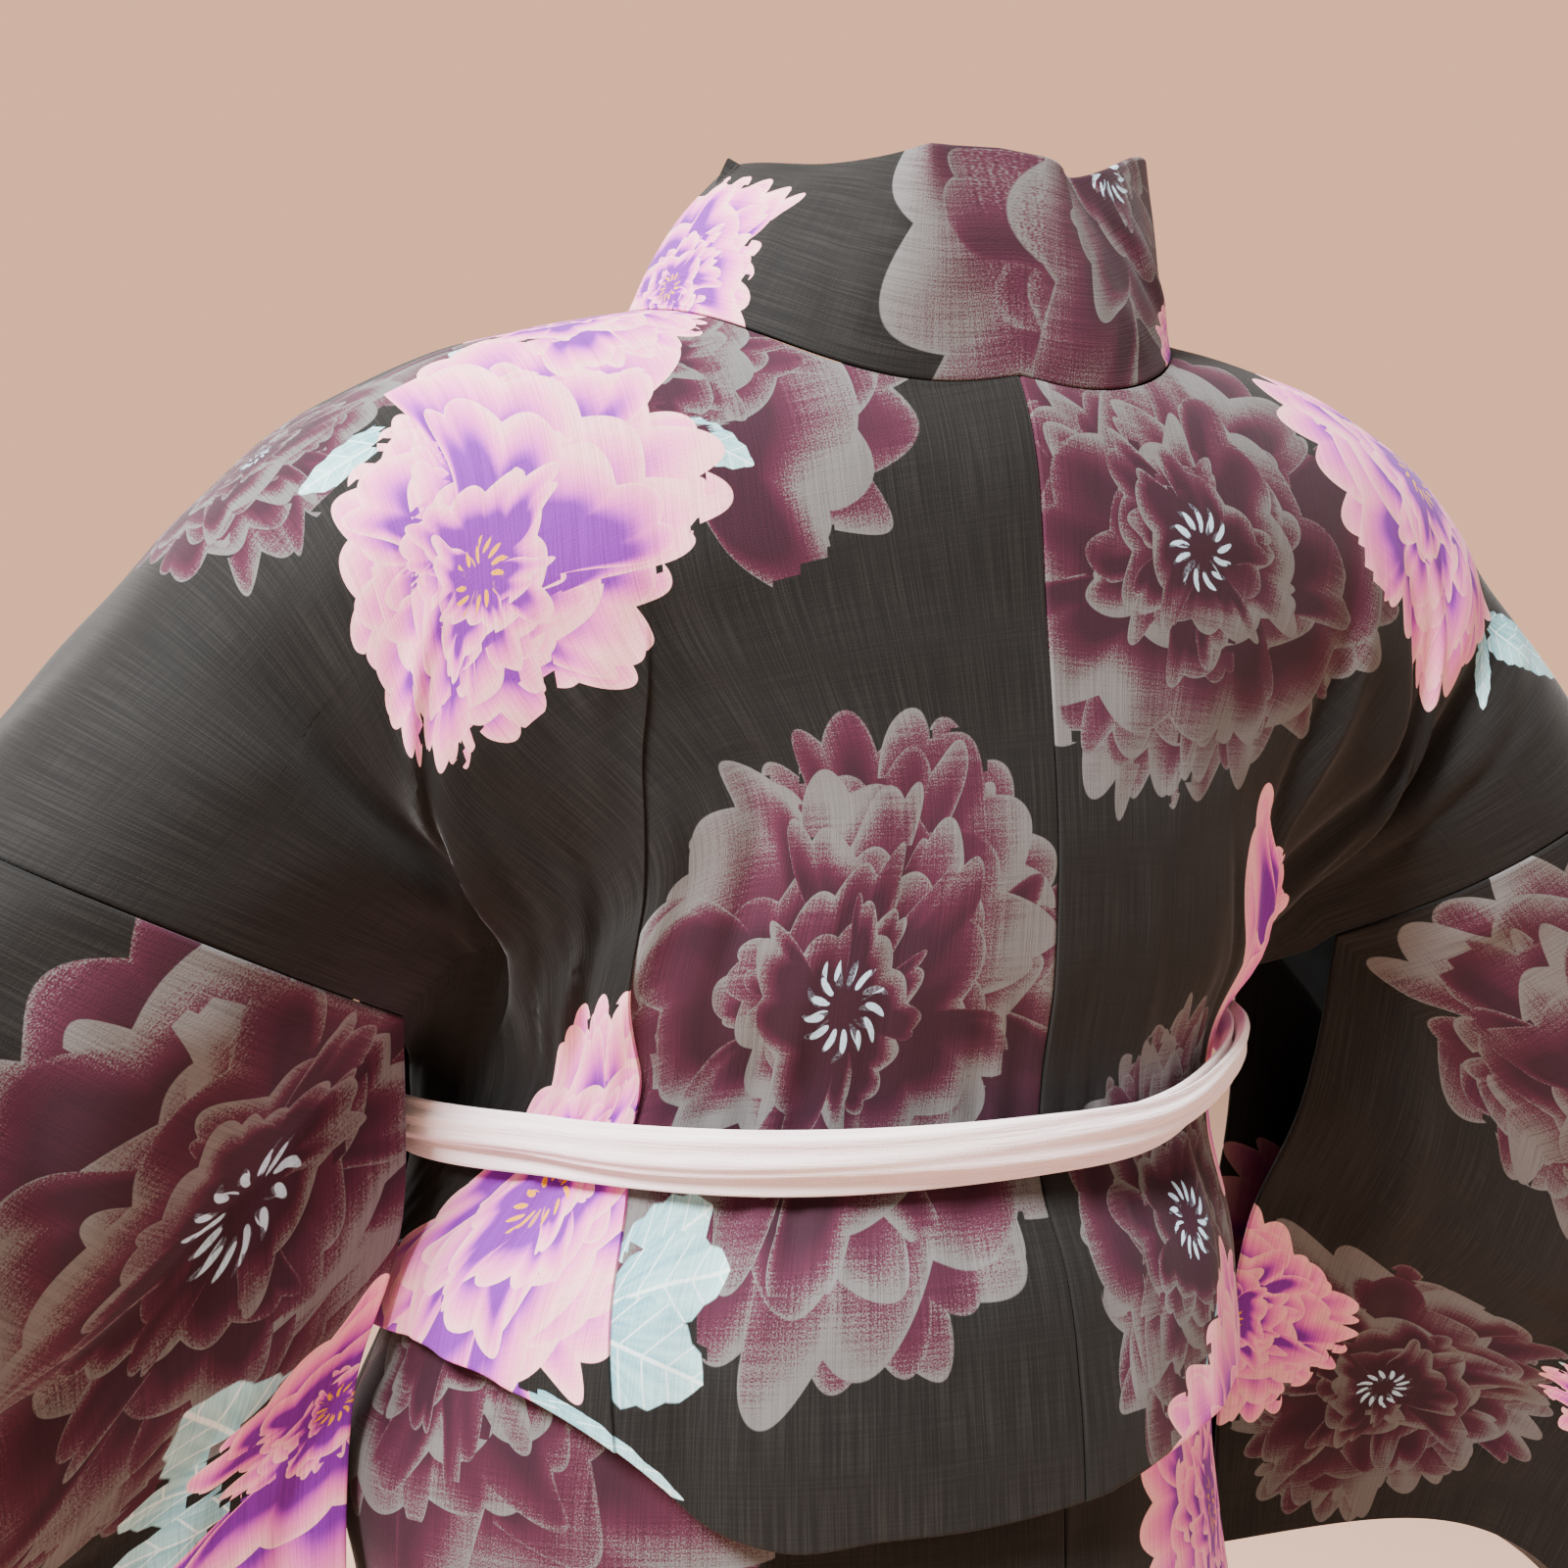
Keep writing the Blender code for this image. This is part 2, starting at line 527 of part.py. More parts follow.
def sleeve_point(w, d, face, side):
    """Left sleeve: w runs from the body seam to the wrist edge, d from the top fold down. The inner
    edge follows the armhole and then hangs free, and the lower edge stays level before it falls."""
    top, normal = body_point(SHOULDER_WIDTH + SEAM_GAP / 2, face * np.minimum(d, ARMHOLE), side, True)
    top, normal = top * np.array([side, 1, 1]), normal * np.array([side, 1, 1])
    end = body_point(SHOULDER_WIDTH + SEAM_GAP / 2, np.array(face * ARMHOLE), side) * np.array([side, 1, 1])
    downs = np.concatenate([[ARMHOLE], column(SLEEVE_INNER_EDGE, 0)])
    out = column(SLEEVE_INNER_EDGE, 1 if side > 0 else 2)
    forward = column(SLEEVE_INNER_EDGE, 3) * (side < 0)
    free_x = through(downs, np.concatenate([[end[0]], out]), d)
    free_z = through(downs, np.concatenate([[end[2]], column(SLEEVE_INNER_EDGE, 4)]), d)
    free_y = end[1] + (face * 0.012 - end[1]) * smooth(ARMHOLE, 0.33, d)
    free_y = free_y - through(downs, np.concatenate([[0], forward]), d)
    hanging = (d > ARMHOLE)[..., None]
    inner = np.where(hanging, np.stack([free_x, free_y, free_z], axis=-1), top)
    x, z = shoulder_line(np.array(SHOULDER_WIDTH + SLEEVE_WIDTH))
    table = SLEEVE_WRIST_EDGE
    wrist = np.stack([x + through(column(table, 0), column(table, 1), d),
                      face * through(column(table, 0), column(table, 2), d),
                      z + through(column(table, 0), column(table, 3), d)], axis=-1)
    point = (1 - w)[..., None] * inner + w[..., None] * wrist
    drop = inner[..., 2] - wrist[..., 2]
    point[..., 2] += drop * (w - w ** 4) * smooth(0.15, SLEEVE_DROP, d)
    point[..., 1] += face * SLEEVE_FULLNESS * np.sin(np.pi * w) * np.sin(np.pi * np.clip(d / SLEEVE_DROP, 0, 1))
    return point, normal


def build_sleeve(side, name, rows=11, free_rows=9):
    """The sleeve as one bag: down its back face, round the lower fold and up its front face."""
    free = np.linspace(ARMHOLE, SLEEVE_DROP, free_rows + 1)[1:]
    back_down = np.concatenate([BACK_ROWS[BACK_ROWS < ARMHOLE + 0.001], free])
    front_down = np.concatenate([FRONT_ROWS[FRONT_ROWS < ARMHOLE + 0.001], free])[:0:-1]
    d = np.concatenate([back_down, front_down])
    is_back = (np.arange(len(d)) < len(back_down))[None, :, None]
    w = np.linspace(0, 1, rows)[:, None] + 0 * d
    d = d + 0 * w
    back, back_normal = sleeve_point(w, d, 1, side)
    front, front_normal = sleeve_point(w, d, -1, side)
    points = np.where(is_back, back, front)
    normals = grid_normals(points, closed=True)
    seam = np.where(is_back, back_normal, front_normal)
    sewn = (d < ARMHOLE + 0.001)[..., None] & (w < 1e-6)[..., None]
    normals = np.where(sewn, seam, normals)
    flip = np.array([side, 1, 1])
    return wall(name, points * flip, normals * flip, WALL, COTTON, closed=True)


def skirt_base(angle, z, side):
    """Skirt section before layers and folds. Its top is tucked inside the waist fold."""
    tucked = -(0.0062 + 0.0055 * smooth(80, 112, np.abs(angle)))
    lower = ring(SKIRT_SECTIONS, angle, z, 0.0, side)
    upper = ring(UPPER_SECTIONS, angle, np.maximum(z, -0.39), tucked, side)
    upper[..., 2] = z
    weight = smooth(SKIRT_TOP_Z, -0.362, z)[..., None]
    return (1 - weight) * upper + weight * lower


def skirt_point(angle, z, side):
    """Skirt cloth at an angle round from the centre back, on the left or on the right, where the
    angle grows the other way. Left lies over right. Gives the point and its outward normal."""
    def raised(angle, z):
        base = skirt_base(angle, z, side)
        front = smooth(80, 112, np.abs(angle))
        over = side * smooth(0.09, -0.09, base[..., 0]) * front
        turn = np.mod(angle * side, 360)
        fold = np.zeros_like(turn)
        for centre, spread, height, top in SKIRT_FOLDS:
            away = (turn - centre + 180) % 360 - 180
            fold += height * np.exp(-(away / spread) ** 2) * smooth(top, top - 0.25, z)
        out = np.radians(angle)
        way = np.stack([np.sin(out), np.cos(out), 0 * out], axis=-1)
        return base + way * (SKIRT_LAYER * over + fold)[..., None]

    point = raised(angle, z)
    around = raised(angle + 0.2, z) - raised(angle - 0.2, z)
    along = raised(angle, z + 0.001) - raised(angle, z - 0.001)
    flip = np.array([side, 1, 1])
    return point * flip, unit(np.cross(along, around)) * flip


def build_skirt(name, side, start, end, cols, rows=15):
    """One skirt piece between two angles, from under the waist fold to the hem."""
    t = np.linspace(0, 1, rows)[:, None]
    gap = np.degrees(SEAM_GAP / 2 / 0.10)
    angle = np.linspace(start + gap, end - gap, cols)[None, :] + 0 * t
    rise = HEM_RISE * smooth(OVERLAP_ANGLE, EDGE_ANGLE, angle)
    z = SKIRT_TOP_Z + (HEM_Z + rise - SKIRT_TOP_Z) * t ** 1.15
    points, normals = skirt_point(angle, z, side)
    return wall(name, points, normals, WALL, COTTON)


def tie_rise(turn):
    """How far the cloth under the tie stands out: the left front lies over the right."""
    return LAYER * smooth(110, 205, turn) * (1 - smooth(257, 292, turn))


def build_strand(name, course, out, half_height, half_thickness, rows=60, sides=8):
    """One turn of the tie: a soft flat band round the waist with an oval section."""
    turn = np.linspace(-180, 180, rows, endpoint=False)[:, None]
    around = np.radians(np.linspace(0, 360, sides, endpoint=False))[None, :]
    middle = through(column(TIE_COURSE, 0), column(TIE_COURSE, course), turn)
    z = middle + half_height * np.sin(around)
    offset = out + tie_rise(np.mod(turn, 360)) + half_thickness * np.cos(around)
    return loop_tube(name, ring(UPPER_SECTIONS, turn + 0 * around, z, offset), SASH)


def front_place(sideways, z, out):
    """Point in front of the cloth at the knot, sideways along the cloth and out from it."""
    turn = TIE_KNOT_TURN - np.degrees(sideways / 0.105)
    return ring(UPPER_SECTIONS, turn, z, out + LAYER)


def build_knot(name, rings=9, sides=14):
    """The knot: a rounded lump over both strands, a little narrower at its waist."""
    tall = np.radians(np.linspace(-90, 90, rings))[1:-1, None]
    around = np.radians(np.linspace(0, 360, sides, endpoint=False))[None, :]
    wide, deep, high = TIE_KNOT_SIZE
    pinch = 1 - 0.16 * np.cos(3 * tall)
    x = wide * pinch * np.cos(tall) * np.cos(around)
    out = KNOT_OUT + deep + deep * np.cos(tall) * np.sin(around)
    z = KNOT_Z + high * np.sin(tall) + 0 * around
    body = front_place(x, z, out)
    ends = front_place(np.zeros(2), KNOT_Z + np.array([-high, high]), np.full(2, KNOT_OUT + deep))
    points = np.concatenate([body.reshape(-1, 3), ends])
    index = np.arange((rings - 2) * sides).reshape(rings - 2, sides)
    right = np.roll(index, -1, axis=1)
    quads = np.stack([index[:-1], right[:-1], right[1:], index[1:]], axis=-1).reshape(-1, 4).tolist()
    low, top = len(points) - 2, len(points) - 1
    caps = [[low, b, a] for a, b in zip(index[0], right[0])]
    caps += [[top, a, b] for a, b in zip(index[-1], right[-1])]
    return add_object(name, points, quads + caps, SASH)


def build_tail(name, sideways, lean, top, rows=9, sides=8):
    """A loose end of the tie that hangs from under the knot."""
    wide, thick, long = TIE_TAIL
    t = np.linspace(0, 1, rows)[:, None]
    around = np.radians(np.linspace(0, 360, sides, endpoint=False))[None, :]
    across = wide / 2 * (0.55 + 0.45 * smooth(0, 0.5, t)) * np.cos(around)
    x = sideways + lean * long * t ** 1.5 + across
    out = TAIL_OUT + 0.003 * np.sin(np.pi * t) + thick / 2 * np.sin(around)
    rings = front_place(x, top - long * t + 0 * around, out)
    return closed_ends(name, rings, SASH)


def closed_ends(name, rings, material):
    """One closed solid from a row of rings, with a flat face on each end."""
    rows, cols = rings.shape[:2]
    index = np.arange(rows * cols).reshape(rows, cols)
    right = np.roll(index, -1, axis=1)
    quads = np.stack([index[:-1], right[:-1], right[1:], index[1:]], axis=-1).reshape(-1, 4).tolist()
    return add_object(name, rings.reshape(-1, 3), quads + [index[0, ::-1].tolist(), index[-1].tolist()], material)


for old in list(bpy.data.objects):
    bpy.data.objects.remove(old, do_unlink=True)

build_body(1, "body_left")
build_body(-1, "body_right")
build_overlap(1, "okumi_left")
build_overlap(-1, "okumi_right")
build_collar("collar")
build_sleeve(1, "sleeve_left")
build_sleeve(-1, "sleeve_right")
for side, word in ((1, "left"), (-1, "right")):
    build_skirt("skirt_back_" + word, side, 0.0, SIDE_ANGLE, 10)
    build_skirt("skirt_front_" + word, side, SIDE_ANGLE, OVERLAP_ANGLE, 11)
    build_skirt("skirt_okumi_" + word, side, OVERLAP_ANGLE, EDGE_ANGLE, 6)
for strand in TIE_STRANDS:
    build_strand(*strand)
build_knot("tie_knot")
for place in TIE_TAIL_PLACES:
    build_tail(*place)
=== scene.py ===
# %% [markdown]
# A cotton yukata robe, worn but with nobody in it, tied with one soft sash. The frame brings the
# plain solids of the robe. This script lays finer cloth over each of them, prints it and sews it.
# The camera comes first, so that every later step can be looked at as it is made.

import bmesh
import bpy
import numpy as np
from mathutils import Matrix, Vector


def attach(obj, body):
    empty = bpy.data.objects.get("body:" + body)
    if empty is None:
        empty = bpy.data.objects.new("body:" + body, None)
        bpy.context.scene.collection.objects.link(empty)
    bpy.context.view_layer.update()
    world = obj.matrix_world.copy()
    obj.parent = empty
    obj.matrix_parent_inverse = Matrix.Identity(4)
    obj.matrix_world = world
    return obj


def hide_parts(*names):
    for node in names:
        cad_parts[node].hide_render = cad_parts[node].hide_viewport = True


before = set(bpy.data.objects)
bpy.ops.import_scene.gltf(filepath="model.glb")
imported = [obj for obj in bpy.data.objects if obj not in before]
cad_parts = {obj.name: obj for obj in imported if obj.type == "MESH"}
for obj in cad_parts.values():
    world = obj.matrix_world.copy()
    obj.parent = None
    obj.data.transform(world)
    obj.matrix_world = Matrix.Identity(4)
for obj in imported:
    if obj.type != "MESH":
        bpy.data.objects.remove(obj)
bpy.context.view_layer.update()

# %% [markdown]
# The camera stands close behind the left shoulder blade, a little above the waist, and looks
# slightly down. A camera this near shows the back wide and the sleeves running out of the frame.

# %% Camera
FRAME_PIXELS = 1600
FOCAL_PIXELS = 2198.7
SENSOR_MM = 36.0
CAMERA_PLACE = Vector((0.3672, 0.6541, -0.0936))
CAMERA_YAW, CAMERA_PITCH = np.radians([206.71, -4.82])
NEAREST_SEEN = 0.01

camera_data = bpy.data.cameras.new("camera")
camera_data.sensor_width = SENSOR_MM
camera_data.lens = FOCAL_PIXELS / FRAME_PIXELS * SENSOR_MM
camera_data.clip_start = NEAREST_SEEN
camera = bpy.data.objects.new("camera", camera_data)
bpy.context.collection.objects.link(camera)
camera.location = CAMERA_PLACE
level = np.cos(CAMERA_PITCH)
gaze = Vector((np.sin(CAMERA_YAW) * level, np.cos(CAMERA_YAW) * level, np.sin(CAMERA_PITCH)))
camera.rotation_euler = gaze.to_track_quat("-Z", "Y").to_euler()
bpy.context.scene.camera = camera
print("lens", round(camera_data.lens, 2), "mm")

# %% [markdown]
# Cloth shows its folds in soft light that comes mostly from one side. One large lamp high behind the
# camera's left shoulder does that, as a ceiling light would, and weaker ones fill the other sides.
# The pale room has two strengths: the camera sees the brighter one, and the cloth is lit by the
# dimmer one, so that its hollows stay dark.

# %% Floor, world and lamps
FLOOR_Z, FLOOR_REACH = -1.275, 12.0
FLOOR_COLOUR, FLOOR_ROUGHNESS = (0.92, 0.58, 0.42, 1.0), 0.9
WALL_COLOUR, WALL_STRENGTH = (1.00, 0.53, 0.33, 1.0), 1.22
ROOM_COLOUR, ROOM_STRENGTH = (1.00, 0.76, 0.62, 1.0), 0.46
LAMPS = [
    # name, place, size, power
    ("key", (1.70, 0.80, 1.65), 0.9, 285.0),
    ("side", (-1.90, 1.30, 0.60), 1.6, 5.0),
    ("top", (0.10, 0.30, 2.10), 1.6, 44.0),
    ("front", (0.60, -2.30, 0.80), 1.8, 60.0),
]
LAMPS_AIM = Vector((0.0, 0.0, -0.25))

floor_mesh = bpy.data.meshes.new("floor")
floor_corners = [(x * FLOOR_REACH, y * FLOOR_REACH, FLOOR_Z)
                 for x, y in ((-1, -1), (1, -1), (1, 1), (-1, 1))]
floor_mesh.from_pydata(floor_corners, [], [(0, 1, 2, 3)])
floor = bpy.data.objects.new("floor", floor_mesh)
bpy.context.collection.objects.link(floor)
floor_paint = bpy.data.materials.new("pale_floor")
floor_paint.use_nodes = True
floor_shader = floor_paint.node_tree.nodes["Principled BSDF"]
floor_shader.inputs["Base Color"].default_value = FLOOR_COLOUR
floor_shader.inputs["Roughness"].default_value = FLOOR_ROUGHNESS
floor_mesh.materials.append(floor_paint)

world = bpy.data.worlds.new("pale_room")
world.use_nodes = True
sky = world.node_tree
seen = sky.nodes["Background"]
felt = sky.nodes.new("ShaderNodeBackground")
for shader, colour, strength in ((seen, WALL_COLOUR, WALL_STRENGTH), (felt, ROOM_COLOUR, ROOM_STRENGTH)):
    shader.inputs["Color"].default_value = colour
    shader.inputs["Strength"].default_value = strength
either = sky.nodes.new("ShaderNodeMixShader")
sky.links.new(sky.nodes.new("ShaderNodeLightPath").outputs["Is Camera Ray"], either.inputs["Fac"])
sky.links.new(felt.outputs["Background"], either.inputs[1])
sky.links.new(seen.outputs["Background"], either.inputs[2])
sky.links.new(either.outputs["Shader"], sky.nodes["World Output"].inputs["Surface"])
bpy.context.scene.world = world

for name, place, size, power in LAMPS:
    lamp_data = bpy.data.lights.new(name, "AREA")
    lamp_data.shape = "DISK"
    lamp_data.size = size
    lamp_data.energy = power
    lamp = bpy.data.objects.new(name, lamp_data)
    bpy.context.collection.objects.link(lamp)
    lamp.location = place
    lamp.rotation_euler = (LAMPS_AIM - Vector(place)).to_track_quat("-Z", "Y").to_euler()
print("lamps:", ", ".join(row[0] for row in LAMPS))

# %% [markdown]
# A yukata is cut from straight lengths of one narrow cloth, so it is measured on the cloth: u is the
# distance out from the centre back, and v the distance down from the shoulder line, counted positive
# on the back and negative on the front. One function from (u, v) to a place in space then gives
# every body length, and neighbours meet along one seam without any fitting.

# %% Measures of the cut and of the worn pose (metres and degrees)
SHOULDER_WIDTH, SIDE_WIDTH = 0.372, 0.300
SLEEVE_WIDTH, SLEEVE_DROP = 0.325, 0.490
ARMHOLE, SIDE_OPENING_END = 0.200, 0.335
NECK_HALF_WIDTH, NECK_BACK_DROP = 0.096, 0.100
OVERLAP_SEAM, OVERLAP_TIP, OVERLAP_WIDTH_AT_FOLD, OVERLAP_FOLD = 0.030, 0.220, 0.070, 0.420
SEAM_GAP = 0.0003
SKIRT_TOP_Z, HEM_Z, HEM_RISE = -0.298, -1.265, 0.015
SIDES = ((1, "left"), (-1, "right"))
LAYER, UNDER_TUCK, SKIRT_LAYER, COLLAR_BOW = 0.0054, 0.0050, 0.0038, 0.0030
COLLAR_SHORT = {1: 1 / 9, -1: 4 / 9}
SLEEVE_FULLNESS = 0.014
NECK_SLOPE, ARM_SLOPE, SLOPE_START, SLOPE_END = 10.5, 48.5, 0.10, 0.285
SEAM_TURN, ARM_TURN, UNDER_TURN = 64.0, 0.110, 38.0
SIDE_DIP, SIDE_DIP_LOSS = 0.1085, 0.33
SIDE_ANGLE, OVERLAP_ANGLE, EDGE_ANGLE = 98.0, 202.0, 257.0
TIE_Z = -0.254

BULGE_TURNS = (62, 92, 125, 158)
UPPER_SECTIONS = [
    # z, half width on the left, half width on the right, back, front, bulge
    (-0.050, 0.147, 0.146, 0.098, 0.064, 0.0000),
    (-0.090, 0.152, 0.151, 0.106, 0.086, 0.0000),
    (-0.140, 0.158, 0.154, 0.1095, 0.112, 0.0000),
    (-0.180, 0.162, 0.150, 0.1105, 0.124, 0.0010),
    (-0.210, 0.162, 0.143, 0.1090, 0.123, 0.0060),
    (-0.242, 0.151, 0.123, 0.1025, 0.1120, 0.0170),
    (-0.272, 0.155, 0.120, 0.1025, 0.1120, 0.0150),
    (-0.300, 0.177, 0.122, 0.1180, 0.119, 0.0030),
    (-0.335, 0.187, 0.124, 0.1260, 0.124, 0.0000),
    (-0.395, 0.190, 0.127, 0.1310, 0.128, 0.0000),
]
SKIRT_SECTIONS = [
    # z, half width on the left, half width on the right, back, front, bulge
    (-0.300, 0.165, 0.116, 0.1180, 0.108, 0.0000),
    (-0.335, 0.181, 0.115, 0.1180, 0.108, 0.0030),
    (-0.375, 0.187, 0.115, 0.1180, 0.109, 0.0065),
    (-0.410, 0.186, 0.120, 0.1200, 0.110, 0.0020),
    (-0.450, 0.182, 0.126, 0.1230, 0.111, 0.0000),
    (-0.560, 0.177, 0.145, 0.1300, 0.112, 0.0000),
    (-0.750, 0.167, 0.162, 0.1220, 0.113, 0.0000),
    (-1.000, 0.160, 0.160, 0.1130, 0.114, 0.0000),
    (-1.265, 0.152, 0.152, 0.1060, 0.116, 0.0000),
]
FOLD_EDGE = [
    # turn, z
    (-180, -0.372),
    (-140, -0.357),
    (-95, -0.338),
    (-50, -0.348),
    (-15, -0.360),
    (0, -0.366),
    (15, -0.3685),
    (30, -0.369),
    (43, -0.370),
    (51, -0.362),
    (58, -0.345),
    (67, -0.330),
    (78, -0.320),
    (95, -0.323),
    (115, -0.334),
    (145, -0.355),
    (180, -0.372),
]
print("cloth from the centre back to the wrist:", SHOULDER_WIDTH + SLEEVE_WIDTH, "m")

# %% [markdown]
# Worn cloth has no straight edges, so heights and widths that are known at a few places are joined
# by smooth curves. An easing curve does the same between two states, such as level and hanging.

# %% Curves and sections
SMALLEST = 1e-12


def column(table, index):
    return np.array([row[index] for row in table], dtype=float)


def smooth(low, high, value):
    """Ease from 0 at low to 1 at high: 3t^2 - 2t^3, where t is the part of the way."""
    t = np.clip((value - low) / (high - low), 0.0, 1.0)
    return t * t * (3.0 - 2.0 * t)


def through(xs, ys, x):
    """Smooth curve through the points (xs, ys): cubic pieces that share a slope at each point."""
    xs, ys, x = np.asarray(xs, float), np.asarray(ys, float), np.asarray(x, float)
    slope = np.gradient(ys, xs)
    i = np.clip(np.searchsorted(xs, x) - 1, 0, len(xs) - 2)
    h = xs[i + 1] - xs[i]
    t = np.clip((x - xs[i]) / h, 0.0, 1.0)
    a, b = ys[i], ys[i + 1]
    return ((1 + 2 * t) * (1 - t) ** 2 * a + t * (1 - t) ** 2 * h * slope[i]
            + t * t * (3 - 2 * t) * b + t * t * (t - 1) * h * slope[i + 1])


def curve(table, index, x):
    """The smooth curve through one column of a table over its first column, read at x."""
    rows = sorted(table)
    return through(column(rows, 0), column(rows, index), x)


def unit(vector):
    return vector / np.maximum(np.linalg.norm(vector, axis=-1, keepdims=True), SMALLEST)


def mirror(side):
    """What turns a left point into one of the given side."""
    return np.array([side, 1.0, 1.0])


def section(sections, z, left):
    """Half width, back depth and front depth at height z, each a smooth curve through the table."""
    on_left, on_right, back, front = [curve(sections, i, z) for i in (1, 2, 3, 4)]
    return np.where(left, on_left, on_right), back, front


def ring(sections, angle, z, out=0.0, side=1):
    """Point on an ellipse round the figure: (half sin a, depth cos a, z), moved out along the
    ellipse's own normal. The depth differs front and back, the half width left and right, and the
    cloth blouses out on the left side by a bulge that eases in and out round the figure."""
    angle = np.radians(angle)
    half, back, front = section(sections, z, np.sin(angle) * side > 0)
    depth = np.where(np.cos(angle) > 0, back, front)
    turn = np.degrees(np.arccos(np.cos(angle)))
    start, full, fall, end = BULGE_TURNS
    on_side = smooth(start, full, turn) * (1 - smooth(fall, end, turn))
    out = out + np.where(np.sin(angle) * side > 0, curve(sections, 5, z) * on_side, 0.0)
    x, y = half * np.sin(angle), depth * np.cos(angle)
    nx, ny = np.sin(angle) / half, np.cos(angle) / depth
    length = np.hypot(nx, ny)
    return np.stack([x + out * nx / length, y + out * ny / length, z + 0.0 * x], axis=-1)


print("round the waist:", round(float(np.linalg.norm(np.diff(ring(
    UPPER_SECTIONS, np.linspace(0, 360, 181), TIE_Z), axis=0), axis=-1).sum()), 3), "m")

# %% [markdown]
# On a straight T-shaped robe the arms pull the shoulder line down, and each thread of the cloth
# runs over the arm and then falls. Below the shoulder blades the tie draws the cloth in, so there it
# follows the rings round the figure. The drape blends these two states from top to bottom.

# %% The drape of the body lengths


def shoulder_line(u):
    """Top of shoulder and arm: a curve whose slope eases from the neck's to the arm's, summed up
    along the cloth distance u."""
    steps = np.linspace(0.0, 0.75, 501)
    slope = np.radians(NECK_SLOPE + (ARM_SLOPE - NECK_SLOPE) * smooth(SLOPE_START, SLOPE_END, steps))
    x = np.concatenate([[0.0], np.cumsum(np.cos(slope[:-1]) * np.diff(steps))])
    z = np.concatenate([[0.0], -np.cumsum(np.sin(slope[:-1]) * np.diff(steps))])
    z = z - np.interp(NECK_HALF_WIDTH, steps, z)
    return np.where(u < 0, u, np.interp(u, steps, x)), np.interp(u, steps, z)


def side_edge(v):
    """u of the outer edge: the sleeve seam above, the side seam below the side opening."""
    return SHOULDER_WIDTH + (SIDE_WIDTH - SHOULDER_WIDTH) * smooth(ARMHOLE, SIDE_OPENING_END, np.abs(v))


def inner_edge(v):
    """u of the inner edge: centre back seam, then the round of the neck u = w (1 - t^2)^(1/2.4),
    then the straight collar seam and the overlap strip's seam."""
    v = np.asarray(v, float)
    t = np.clip(v / NECK_BACK_DROP, 0, 1)
    on_back = NECK_HALF_WIDTH * np.maximum(1 - t ** 2, 0.0) ** (1 / 2.4)
    on_front = NECK_HALF_WIDTH + (OVERLAP_SEAM - NECK_HALF_WIDTH) * np.clip(-v / OVERLAP_TIP, 0, 1)
    return np.where(v >= 0, on_back, on_front)


def draped(u, v, face):
    """Cloth over shoulder and arm. A thread turns from level to hanging over a length that is long
    on the torso and short on the arm, and swings in to the body near the sleeve seam. Its place is
    the mean direction along the way times the way, taken at 24 parts."""
    arm = smooth(0.04, 0.24, u)
    turn = (0.170 if face > 0 else 0.135) * (1 - arm) + ARM_TURN * arm
    start = (5.0 if face > 0 else 12.0) * (1 - arm)
    parts = (np.arange(24) + 0.5) / 24
    run = np.minimum(v, ARMHOLE)
    s = run[..., None] * parts
    under = UNDER_TURN * smooth(0.20, 0.33, u)[..., None] * smooth(0.08, 0.20, s)
    angle = np.radians(start[..., None] + (90 - start[..., None]) * smooth(0, turn[..., None], s) + under)
    out = run * np.cos(angle).mean(axis=-1)
    down = run * np.sin(angle).mean(axis=-1)
    swing = np.radians(SEAM_TURN) * smooth(0.15, SHOULDER_WIDTH, u)
    x, z = shoulder_line(u)
    drop = z - down * np.cos(swing) - (v - run)
    return np.stack([x - down * np.sin(swing), face * out, drop], axis=-1)


def body_base(u, v, face, side):
    """One half of the upper cloth before folds, as if it were the left: draped above, rings round
    the figure below, with a weight that eases from one to the other down the cloth."""
    edge = side_edge(v)
    far = smooth(0.14 if face > 0 else 0.20, 0.33, u)
    opening = 5.0 * smooth(ARMHOLE - 0.02, 0.26, v) * (1 - smooth(0.30, SIDE_OPENING_END, v))
    if face > 0:
        angle = (SIDE_ANGLE - opening) * u / edge
    else:
        part = (edge - u) / (edge - OVERLAP_SEAM)
        angle = SIDE_ANGLE + opening + (OVERLAP_ANGLE - SIDE_ANGLE - opening) * part
    dip = SIDE_DIP * smooth(0.0, ARMHOLE, v) - SIDE_DIP_LOSS * np.maximum(v - ARMHOLE, 0)
    height = draped(np.zeros_like(v), v, 1)[..., 2] - dip * smooth(0.12, 0.34, u)
    weight = smooth(0.12 + 0.08 * far, 0.25 - 0.028 * far, v)
    upper, lower = draped(u, v, face), ring(UPPER_SECTIONS, angle, height, 0.0, side)
    point = (1 - weight)[..., None] * upper + weight[..., None] * lower
    if face < 0:
        x = point[..., 0]
        upper = draped(np.abs(x), v, face)
        half, _, front = section(UPPER_SECTIONS, height, x * side > 0)
        depth = -front * np.sqrt(np.maximum(1 - (x / half) ** 2, 0.04))
        chest = 1 - smooth(0.115, 0.145, np.abs(x))
        point[..., 1] += chest * ((1 - weight) * upper[..., 1] + weight * depth - point[..., 1])
        point[..., 2] += chest * ((1 - weight) * upper[..., 2] + weight * height - point[..., 2])
    return point


print("shoulder point at the sleeve seam:", np.round(draped(np.array([SHOULDER_WIDTH]), np.zeros(1), 1), 3))

# %% [markdown]
# Folds come in sizes. The few large ones start at the armholes, where the cloth hangs from arm to
# waist, and they are soft troughs and ridges that fade at both ends. Smaller ones gather at the tie.
# Cotton that has been folded away also keeps a faint waviness, a sum of a few long waves.

